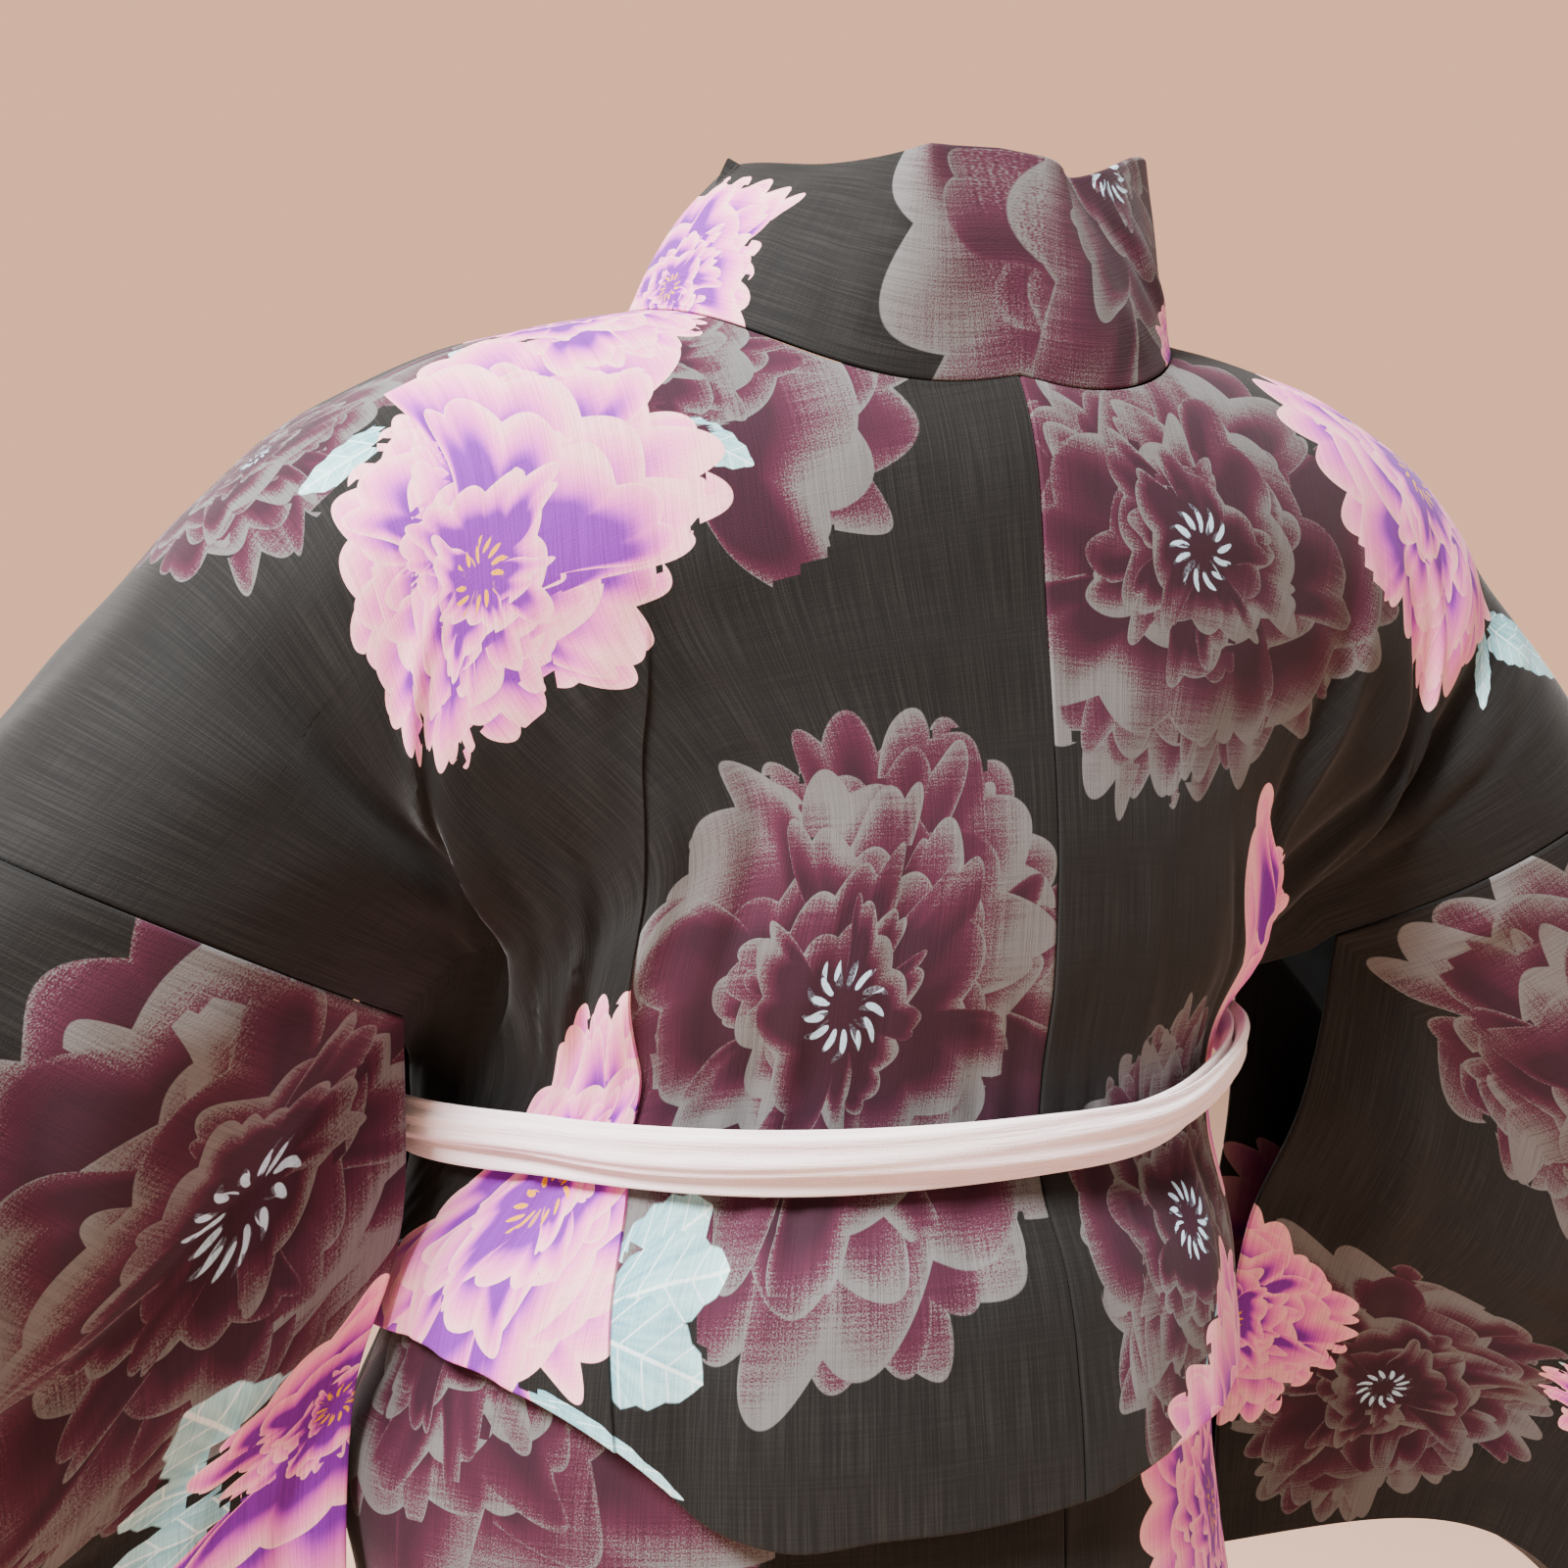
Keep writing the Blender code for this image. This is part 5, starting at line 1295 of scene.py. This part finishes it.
skirt_pieces = {}
for side, word in SIDES:
    for part, start, end in (("back", 0.0, SIDE_ANGLE), ("front", SIDE_ANGLE, OVERLAP_ANGLE),
                             ("okumi", OVERLAP_ANGLE, EDGE_ANGLE)):
        skirt_pieces[part, side] = build_skirt(part, side, word, start, end)

# %% [markdown]
# The tie is a soft knitted band that has rolled in on itself. It goes round twice, and the two
# strands run beside each other and cross at the sides. A strand is an oval carried round the waist,
# with ridges along it that turn slowly, which is how a rolled knit band looks.

# %% Tie
LAYER_ANGLES = (110, 205, 257, 292)
TIE_COURSE = [
    # turn round from the centre back, upper strand z, lower strand z
    (-180, -0.2450, -0.2490), (-110, -0.2465, -0.2490), (-60, -0.2460, -0.2475), (-42, -0.2505, -0.2520),
    (-25, -0.2565, -0.2590), (0, -0.2570, -0.2620), (45, -0.2560, -0.2620), (75, -0.2535, -0.2595),
    (110, -0.2520, -0.2560), (150, -0.2475, -0.2515), (180, -0.2450, -0.2490),
]
TIE_STRANDS = [
    # name, column in TIE_COURSE, offset, half height, half thickness, ridges, turns of the ridges
    ("tie_upper", 1, 0.0098, 0.0068, 0.0022, 3, 1.5),
    ("tie_lower", 2, 0.0050, 0.0074, 0.0022, 2, -1.0),
]
RIDGE_HEIGHT = 0.00045
STRAND_RINGS, STRAND_SIDES = 420, 36


def tie_rise(turn):
    """How far the cloth under the tie stands out where the left front lies over the right."""
    low, high, end, clear = LAYER_ANGLES
    return LAYER * smooth(low, high, turn) * (1 - smooth(end, clear, turn))


def build_strand(name, course, out, half_height, half_thickness, ridges, twists):
    """Oval (half thickness cos a, half height sin a) carried round, plus ridges cos(n a + turning)."""
    turn = np.linspace(-180, 180, STRAND_RINGS, endpoint=False)[:, None]
    around = np.linspace(0, 2 * np.pi, STRAND_SIDES, endpoint=False)[None, :]
    along = np.radians(turn)
    middle = curve(TIE_COURSE, course, turn)
    swell = 1 + 0.06 * np.sin(3 * along + course) + 0.05 * np.sin(7 * along + 2 * course)
    ridge = RIDGE_HEIGHT * np.cos(2 * ridges * around + twists * along * 2 + np.sin(2 * along))
    ridge = ridge + 0.4 * RIDGE_HEIGHT * np.sin(5 * around - 3 * along)
    z = middle + (half_height * swell + ridge) * np.sin(around)
    offset = out + tie_rise(np.mod(turn, 360)) + (half_thickness + ridge) * np.cos(around)
    rings = ring(UPPER_SECTIONS, turn + 0 * around, z, offset)
    rows, cols = rings.shape[:2]
    index = np.arange(rows * cols).reshape(rows, cols)
    ahead, right = np.roll(index, -1, axis=0), np.roll(index, -1, axis=1)
    faces = np.stack([index, right, np.roll(ahead, -1, axis=1), ahead], axis=-1).reshape(-1, 4)
    length = np.linalg.norm(np.diff(rings[:, 0], axis=0), axis=-1).sum() * rows / (rows - 1)
    place = np.stack([np.arange(rows)[:, None] / rows * length + 0 * around,
                      np.arange(cols)[None, :] / cols * 4 * half_height + 0 * turn], axis=-1)
    step = np.array([length / rows, 4 * half_height / cols])
    spots = place.reshape(-1, 1, 2) + np.array([[0, 0], [0, 1], [1, 1], [1, 0]]) * step
    return finish_band(name, rings.reshape(-1, 3), faces, spots)


def finish_band(name, points, faces, spots):
    """Make a band's mesh with its faces outwards, and keep the place along and across the band."""
    faces, spots = faced_outwards(points, faces, spots)
    obj = add_mesh(name, points, faces)
    store(obj, "cloth", np.concatenate([spots, np.zeros(spots.shape[:2] + (1,))], axis=-1))
    print(name, "faces", len(faces))
    return obj


tie_pieces = {row[0]: build_strand(*row) for row in TIE_STRANDS}

# %% [markdown]
# In front the tie is knotted once and its two ends hang down. A knot in a knitted band is a rounded
# lump with the band's own turn lying slantwise over it, so the lump gets slanting waves.

# %% Knot and ends
KNOT_OUT, TAIL_OUT, KNOT_Z, KNOT_TURN = 0.0126, 0.0046, -0.247, 186.0
KNOT_SIZE = (0.0170, 0.0075, 0.0150)
KNOT_END, KNOT_RINGS, KNOT_SIDES = 84, 40, 64
TAIL_RINGS, TAIL_SIDES = 70, 32
TAIL_SIZE = (0.016, 0.0032, 0.085)
TAILS = [
    # name, sideways, lean, height of the top
    ("tie_end_left", 0.0105, 0.16, -0.2645),
    ("tie_end_right", -0.0105, -0.10, -0.2645),
]
WAIST_RADIUS = 0.105
SAME_PLACE = 1e-7


def front_place(sideways, z, out):
    """Point before the cloth at the knot, sideways along the cloth and out from it."""
    return ring(UPPER_SECTIONS, KNOT_TURN - np.degrees(sideways / WAIST_RADIUS), z, out + LAYER)


def closed_tube(name, rings, scale):
    """Band from rings of points, shut at both ends by rings that shrink to the end's centre."""
    caps = []
    for edge, parts in ((rings[:1], (0.0, 0.6)), (rings[-1:], (0.6, 0.0))):
        centre = edge.mean(axis=1, keepdims=True)
        caps.append(np.concatenate([centre + (edge - centre) * part for part in parts]))
    rings = np.concatenate([caps[0], rings, caps[1]])
    rows, cols = rings.shape[:2]
    index = np.arange(rows * cols).reshape(rows, cols)
    index[0], index[-1] = index[0, 0], index[-1, 0]
    right = np.roll(index, -1, axis=1)
    faces = np.stack([index[:-1], right[:-1], right[1:], index[1:]], axis=-1).reshape(-1, 4)
    place = np.stack(np.meshgrid(np.arange(rows) * scale, np.arange(cols) * scale, indexing="ij"), axis=-1)
    spots = place[:-1].reshape(-1, 1, 2) + np.array([[0, 0], [0, 1], [1, 1], [1, 0]]) * scale
    obj = finish_band(name, rings.reshape(-1, 3), faces, spots)
    clean = bmesh.new()
    clean.from_mesh(obj.data)
    bmesh.ops.remove_doubles(clean, verts=clean.verts, dist=SAME_PLACE)
    bmesh.ops.dissolve_degenerate(clean, edges=clean.edges, dist=SAME_PLACE)
    clean.to_mesh(obj.data)
    clean.free()
    return obj


def build_knot():
    tall = np.radians(np.linspace(-KNOT_END, KNOT_END, KNOT_RINGS))[:, None]
    around = np.radians(np.linspace(0, 360, KNOT_SIDES, endpoint=False))[None, :]
    wide, deep, high = KNOT_SIZE
    pinch = 1 - 0.16 * np.cos(3 * tall)
    slant = 0.05 * np.cos(5 * (around + 1.1 * tall)) * np.cos(tall)
    x = wide * (pinch + slant) * np.cos(tall) * np.cos(around)
    out = KNOT_OUT + deep + deep * (1 + 2 * slant) * np.cos(tall) * np.sin(around)
    z = KNOT_Z + high * np.sin(tall) + 0 * around
    return closed_tube("tie_knot", front_place(x, z, out), 0.0007)


def build_tail(name, sideways, lean, top):
    wide, thick, long = TAIL_SIZE
    t = np.linspace(0, 1, TAIL_RINGS)[:, None]
    around = np.radians(np.linspace(0, 360, TAIL_SIDES, endpoint=False))[None, :]
    ridge = 1 + 0.10 * np.cos(4 * around + 5 * t)
    across = wide / 2 * (0.55 + 0.45 * smooth(0, 0.5, t)) * np.cos(around)
    x = sideways + lean * long * t ** 1.5 + across
    out = TAIL_OUT + 0.003 * np.sin(np.pi * t) + thick / 2 * ridge * np.sin(around)
    return closed_tube(name, front_place(x, top - long * t + 0 * around, out), 0.0012)


tie_pieces["tie_knot"] = build_knot()
for row in TAILS:
    tie_pieces[row[0]] = build_tail(*row)

# %% [markdown]
# Now the finishes. A shader effect is a sum of small sums, so a helper that turns written arithmetic
# into Math nodes keeps the recipes readable: `a * b + 0.2` adds a Multiply and an Add node.

# %% Arithmetic in shader nodes


class Wire:
    """One value in a node tree. Arithmetic on it adds Math nodes and gives the next Wire."""

    def __init__(self, tree, socket):
        self.tree, self.socket = tree, socket

    def math(self, operation, *others):
        step = self.tree.nodes.new("ShaderNodeMath")
        step.operation = operation
        for slot, value in zip(step.inputs, (self,) + others):
            plug(self.tree, value, slot)
        return Wire(self.tree, step.outputs[0])

    def __add__(self, other):
        return self.math("ADD", other)

    def __sub__(self, other):
        return self.math("SUBTRACT", other)

    def __mul__(self, other):
        return self.math("MULTIPLY", other)

    def __truediv__(self, other):
        return self.math("DIVIDE", other)

    def __rsub__(self, other):
        return self.math("MULTIPLY_ADD", -1.0, other)

    __radd__, __rmul__ = __add__, __mul__

    def ease(self, low, high):
        """0 below low and 1 above high, smoothly between; falling where low is above high."""
        step = self.tree.nodes.new("ShaderNodeMapRange")
        step.interpolation_type = "SMOOTHSTEP"
        for slot, value in zip(step.inputs[:3], (self, low, high)):
            plug(self.tree, value, slot)
        return Wire(self.tree, step.outputs[0])


def plug(tree, value, slot):
    """Join a Wire or a socket to a slot, or set the slot to a plain value."""
    if isinstance(value, Wire):
        tree.links.new(value.socket, slot)
    elif isinstance(value, bpy.types.NodeSocket):
        tree.links.new(value, slot)
    else:
        slot.default_value = value


print("a Wire can add, take away, multiply, divide and ease")

# %% [markdown]
# The other nodes get a short helper each: places, soft noise, colour blends and ramps. What more
# than one cloth needs becomes a node group, built once.

# %% Helpers for nodes


def vector(tree, x, y, z):
    joined = tree.nodes.new("ShaderNodeCombineXYZ")
    for slot, value in zip(joined.inputs, (x, y, z)):
        plug(tree, value, slot)
    return joined.outputs[0]


def parts_of(tree, socket):
    split = tree.nodes.new("ShaderNodeSeparateXYZ")
    tree.links.new(socket, split.inputs[0])
    return [Wire(tree, out) for out in split.outputs]


def noise(tree, place, scale, detail=1.0, roughness=0.5):
    """Soft random values around 0.5 at a place."""
    cloud = tree.nodes.new("ShaderNodeTexNoise")
    tree.links.new(place, cloud.inputs["Vector"])
    cloud.inputs["Scale"].default_value = scale
    cloud.inputs["Detail"].default_value = detail
    cloud.inputs["Roughness"].default_value = roughness
    return Wire(tree, cloud.outputs[0])


def blend(tree, amount, first, second):
    """Colour between first and second."""
    mix = tree.nodes.new("ShaderNodeMix")
    mix.data_type = "RGBA"
    for slot, value in zip((mix.inputs[0], mix.inputs[6], mix.inputs[7]), (amount, first, second)):
        plug(tree, value, slot)
    return mix.outputs[2]


def ramp(tree, value, stops):
    """Colour along a value, through (place, colour) stops."""
    bar = tree.nodes.new("ShaderNodeValToRGB")
    plug(tree, value, bar.inputs[0])
    bar.color_ramp.interpolation = "B_SPLINE" if len(stops) > 3 else "LINEAR"
    elements = bar.color_ramp.elements
    for place, colour in stops[1:-1]:
        elements.new(place).color = colour
    elements[0].position, elements[0].color = stops[0]
    elements[-1].position, elements[-1].color = stops[-1]
    return bar.outputs[0]


def shade(code):
    """Linear colour from the usual sRGB hexadecimal code."""
    parts = [int(code[i:i + 2], 16) / 255 for i in (0, 2, 4)]
    return tuple(c / 12.92 if c <= 0.04045 else ((c + 0.055) / 1.055) ** 2.4 for c in parts) + (1.0,)


def new_group(name, inputs, outputs):
    group = bpy.data.node_groups.new(name, "ShaderNodeTree")
    for label, kind in inputs:
        group.interface.new_socket(label, in_out="INPUT", socket_type="NodeSocket" + kind)
    for label, kind in outputs:
        group.interface.new_socket(label, in_out="OUTPUT", socket_type="NodeSocket" + kind)
    return group, group.nodes.new("NodeGroupInput").outputs, group.nodes.new("NodeGroupOutput").inputs


print("ground colour", [round(c, 4) for c in shade("1C1B19")])

# %% [markdown]
# One petal is a fan: x runs from the flower's eye (0) to the petal's tip (1), and y to its sides. Its
# outline is a round tip with a few lobes, which is what makes a peony look ruffled. Light at the tip
# and dark at the base, each petal stands out against the one behind it. Screen printing lays the
# dark flowers down as fine dots, so there the change from maroon to grey is grainy.

# %% Petal, leaf and stamens
BRIGHT_STOPS = [
    (0.00, shade("6E1898")), (0.15, shade("9E34B8")), (0.32, shade("D65AC4")), (0.56, shade("F57EC2")),
    (0.80, shade("FF9DC2")), (1.00, shade("FFBEC2")),
]
SHADOW_STOPS = [
    (0.00, shade("2B0F1E")), (0.25, shade("3F1529")), (0.50, shade("4A1B31")), (0.64, shade("54303D")),
    (0.80, shade("5C5958")), (1.00, shade("696868")),
]
LEAF_COLOURS = (shade("6FA9B8"), shade("A6D3D6"))
VEIN_COLOUR = shade("DDEFEF")
STAMENS = 13.0
STAMEN_COLOURS = (shade("B9DCF0"), shade("F0A416"))


def make_shape_group(name, leaves, stamens):
    """Colour and mask of one printed shape. Petals always, leaves and stamens where they are asked for,
    because a shape that can't lie in a layer needn't be worked out for it."""
    tree, given, result = new_group(name, [("Place", "Vector"), ("Grain", "Float")],
                                    [("Color", "Color"), ("Mask", "Float")])
    x, y, code = parts_of(tree, given["Place"])
    kind = code.math("FLOOR")
    mark = (code - kind - 0.1) * 1.25
    seed = mark * SEED_RANGE
    depth, way, q, inside = petal_cover(
        x, y, mark, lambda wire: wire.math("SINE"), lambda wire: wire.math("ABSOLUTE"),
        lambda wire, other: wire.math("MAXIMUM", other), lambda wire, other: wire.math("MINIMUM", other))
    streak = noise(tree, vector(tree, q * 4.0, way * 1.2, seed), 1.0, 0.0) - 0.5
    visible = (way - 0.66) / 0.34 + streak * 0.9
    rim = inside.ease(0.030, 0.008)
    bright = ramp(tree, visible + rim * 0.2, BRIGHT_STOPS)
    cloud = noise(tree, vector(tree, q * 1.3, seed, way * 2.0), 1.0, 0.0) - 0.5
    turned = visible * 0.9 + cloud * 1.5
    grainy = (Wire(tree, given["Grain"]) - 0.5) * 1.7 * turned.ease(0.2, 0.5) * turned.ease(1.15, 0.75)
    shadow = ramp(tree, turned + grainy + rim * 0.18, SHADOW_STOPS)
    colour = blend(tree, kind.math("COMPARE", float(SHADOW), 0.5), bright, shadow)
    mask = depth.ease(0.0, SURE_DEPTH) * (kind - 1.5).math("ABSOLUTE").math("LESS_THAN", 0.9)
    if leaves:
        is_leaf = kind.math("COMPARE", float(LEAF), 0.5)
        width = (x * (1.0 - x) * 4.0).math("MAXIMUM", 0.0).math("POWER", 0.62) * (1.18 - x * 0.36)
        teeth = ((x * 5.5 + mark).math("FRACT") - 0.5).math("ABSOLUTE") * 0.22
        across = y.math("ABSOLUTE")
        leaf = (width - teeth - across).ease(0.0, 0.06) * x.ease(0.0, 0.01) * x.ease(1.0, 0.99)
        midrib = across.ease(0.055, 0.02)
        side_vein = (((x - across * 0.22) * 5.0).math("FRACT") - 0.5).math("ABSOLUTE").ease(0.06, 0.025)
        green = blend(tree, (x * 0.7 + streak + 0.15).ease(0.0, 1.0), LEAF_COLOURS[0], LEAF_COLOURS[1])
        green = blend(tree, midrib.math("MAXIMUM", side_vein * 0.85), green, VEIN_COLOUR)
        colour, mask = blend(tree, is_leaf, colour, green), mask + leaf * is_leaf
    if stamens:
        is_stamen = kind.math("GREATER_THAN", LEAF + 0.5)
        angle = y.math("ARCTAN2", x) * (STAMENS / (2 * np.pi)) + mark
        chance = tree.nodes.new("ShaderNodeTexWhiteNoise")
        chance.noise_dimensions = "2D"
        tree.links.new(vector(tree, angle.math("FLOOR"), seed, 0.0), chance.inputs["Vector"])
        luck = Wire(tree, chance.outputs["Value"])
        far = (x * x + y * y).math("SQRT")
        turned_stroke = (luck - 0.5) * (far - 0.6) * 2.4
        swirl = ((angle + far * 0.7 - luck * 0.3).math("FRACT") - 0.5 + turned_stroke) * far * 6.4
        ends = (far - 0.50 - luck * 0.28) * 4.6
        stroke = (swirl * swirl + ends * ends).ease(1.15, 0.85) * luck.ease(0.06, 0.10)
        paint = blend(tree, kind.math("COMPARE", float(BRIGHT_STAMENS), 0.5), *STAMEN_COLOURS)
        colour, mask = blend(tree, is_stamen, colour, paint), mask + stroke * is_stamen
    tree.links.new(colour, result["Color"])
    tree.links.new(mask.socket, result["Mask"])
    return tree


petal_only = make_shape_group("petal_only", False, False)
next_shape = make_shape_group("next_shape", True, False)
top_shape = make_shape_group("top_shape", True, True)
print("nodes in the printed shapes:", [len(group.nodes) for group in (petal_only, next_shape, top_shape)])

# %% [markdown]
# Slub cotton is woven from yarn of uneven thickness, which shows as fine broken lines, stronger down
# the warp than across it. Both the colour and the tiny relief come from the same pattern, so they
# agree, and the dots of the print are the gaps between those threads.

# %% Weave
THREADS = 1500.0


def make_weave_group():
    tree, given, result = new_group("slub_weave", [("Place", "Vector")],
                                    [("Slub", "Float"), ("Grain", "Float"), ("Height", "Float")])
    u, v, _ = parts_of(tree, given["Place"])
    warp = noise(tree, vector(tree, u * THREADS, v * 28.0, 0.0), 1.0, 1.0, 0.6)
    weft = noise(tree, vector(tree, u * 34.0, v * THREADS, 5.0), 1.0, 0.0)
    fine = noise(tree, vector(tree, u * 1900.0, v * 1900.0, 9.0), 1.0, 0.0)
    slub = warp * 0.80 + weft * 0.20
    tree.links.new(slub.socket, result["Slub"])
    tree.links.new((fine * 0.6 + warp * 0.2 + weft * 0.2).socket, result["Grain"])
    tree.links.new((warp * 0.6 + fine * 0.4).socket, result["Height"])
    return tree


weave_group = make_weave_group()
print("nodes in the weave:", len(weave_group.nodes))

# %% [markdown]
# Every cloth here is matt, with a soft sheen from its fibre ends and a relief from its yarns, so one
# helper makes the material and another hands it its colour and relief.

# %% What every cloth shares


def attribute(tree, name):
    read = tree.nodes.new("ShaderNodeAttribute")
    read.attribute_name = name
    return read.outputs["Vector"]


def place_group(tree, group, inputs):
    used = tree.nodes.new("ShaderNodeGroup")
    used.node_tree = group
    for label, value in inputs.items():
        plug(tree, value, used.inputs[label])
    return used.outputs


def new_cloth(name, roughness, sheen, sheen_roughness, gloss):
    """A new material of matt fibres, and the cloth's own measures in it."""
    material = bpy.data.materials.new(name)
    material.use_nodes = True
    tree = material.node_tree
    shader = tree.nodes["Principled BSDF"]
    for label, value in (("Roughness", roughness), ("Sheen Weight", sheen),
                         ("Sheen Roughness", sheen_roughness), ("Specular IOR Level", gloss)):
        shader.inputs[label].default_value = value
    return material, tree, shader, attribute(tree, "cloth")


def show(tree, shader, colour, height, strength, distance):
    """Give the shader its colour and a relief of yarns."""
    bump = tree.nodes.new("ShaderNodeBump")
    bump.inputs["Strength"].default_value = strength
    bump.inputs["Distance"].default_value = distance
    tree.links.new(height, bump.inputs["Height"])
    tree.links.new(bump.outputs[0], shader.inputs["Normal"])
    tree.links.new(colour, shader.inputs["Base Color"])


print("cloths are matt: the shine of each is under 0.3")

# %% [markdown]
# The robe's cloth puts these together: black slub cotton, the three topmost printed shapes over it,
# and less of the print on the wrong side of the cloth, where only a little dye came through. Most
# faces are plain or lie under one petal, so the cotton is made four times, each with only the shapes
# that its faces can show. They meet unseen, and each face has less to work out.

# %% Printed cotton
GROUND_DARK, GROUND_LIGHT = shade("0B0A09"), shade("201F1D")
WRONG_SIDE_KEEPS = 0.30
COTTON_FINISH = (0.82, 0.10, 0.40, 0.25)      # roughness, sheen, sheen's roughness, gloss
COTTON_RELIEF = (0.55, 0.0004)                # strength, distance
COTTON_SHAPES = {
    # material: the printed shapes over the ground, from the lowest up, as (layer, group)
    "plain_cotton": [],
    "petal_cotton": [(2, petal_only)],
    "outline_cotton": [(2, petal_only), (0, petal_only)],
    "flower_cotton": [(2, petal_only), (1, next_shape), (0, top_shape)],
}


def make_cotton(name, shapes):
    """Slub cotton with some printed shapes over its black ground."""
    material, tree, shader, cloth = new_cloth(name, *COTTON_FINISH)
    side = parts_of(tree, cloth)[2]
    weave = place_group(tree, weave_group, {"Place": cloth})
    slub = Wire(tree, weave["Slub"])
    ground = blend(tree, slub.ease(0.34, 0.80), GROUND_DARK, GROUND_LIGHT)
    colour = ground
    for layer, group in shapes:
        shape = place_group(tree, group, {"Place": attribute(tree, "print_" + str(layer)),
                                          "Grain": weave["Grain"]})
        colour = blend(tree, shape["Mask"], colour, shape["Color"])
    worn = blend(tree, slub.ease(0.62, 0.30) * 0.24, colour, GROUND_DARK)
    colour = blend(tree, side * (1 - WRONG_SIDE_KEEPS), worn, ground)
    show(tree, shader, colour, weave["Height"], *COTTON_RELIEF)
    return material


cottons = [make_cotton(name, shapes) for name, shapes in COTTON_SHAPES.items()]
print("cottons:", [material.name for material in cottons])

# %% [markdown]
# The tie is a pale lilac-pink knit, brushed so that it is fuzzy. Its fine ribs run along the band,
# its colour is a little creamier in places, and its soft sheen comes from the raised fibres.

# %% Knitted tie
TIE_COLOURS = (shade("EFCFDC"), shade("FFF0F4"), shade("FFF7EE"))
KNIT_FINISH, KNIT_RELIEF = (0.92, 0.45, 0.55, 0.20), (0.70, 0.0006)


def make_knit():
    material, tree, shader, cloth = new_cloth("lilac_knit", *KNIT_FINISH)
    along, across, _ = parts_of(tree, cloth)
    rib = noise(tree, vector(tree, along * 60.0, across * 1900.0, 1.0), 1.0, 1.0)
    fuzz = noise(tree, vector(tree, along * 1400.0, across * 1400.0, 2.0), 1.0, 2.0, 0.7)
    patch = noise(tree, vector(tree, along * 14.0, across * 60.0, 3.0), 1.0, 1.0)
    tone = rib * 0.55 + fuzz * 0.45
    colour = blend(tree, tone.ease(0.22, 0.62), TIE_COLOURS[0], TIE_COLOURS[1])
    colour = blend(tree, patch.ease(0.42, 0.70) * 0.6, colour, TIE_COLOURS[2])
    show(tree, shader, colour, (rib * 0.6 + fuzz * 0.4).socket, *KNIT_RELIEF)
    return material


knit = make_knit()
print("the tie's material:", knit.name)

# %% [markdown]
# Last, every piece gets its cloth, rides on the robe's one body and stands for its solid.


def fit(piece, node, materials):
    for material in materials:
        piece.data.materials.append(material)
    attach(piece, "root")
    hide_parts(node)


for side, word in SIDES:
    fit(body_pieces[side], "body_" + word, cottons)
    fit(overlap_pieces[side], "okumi_" + word, cottons)
    fit(sleeve_pieces[side], "sleeve_" + word, cottons)
    for part in SKIRT_WIDTHS:
        fit(skirt_pieces[part, side], "skirt_" + part + "_" + word, cottons)
fit(collar_piece, "collar", cottons)
for name, piece in tie_pieces.items():
    fit(piece, name, [knit])
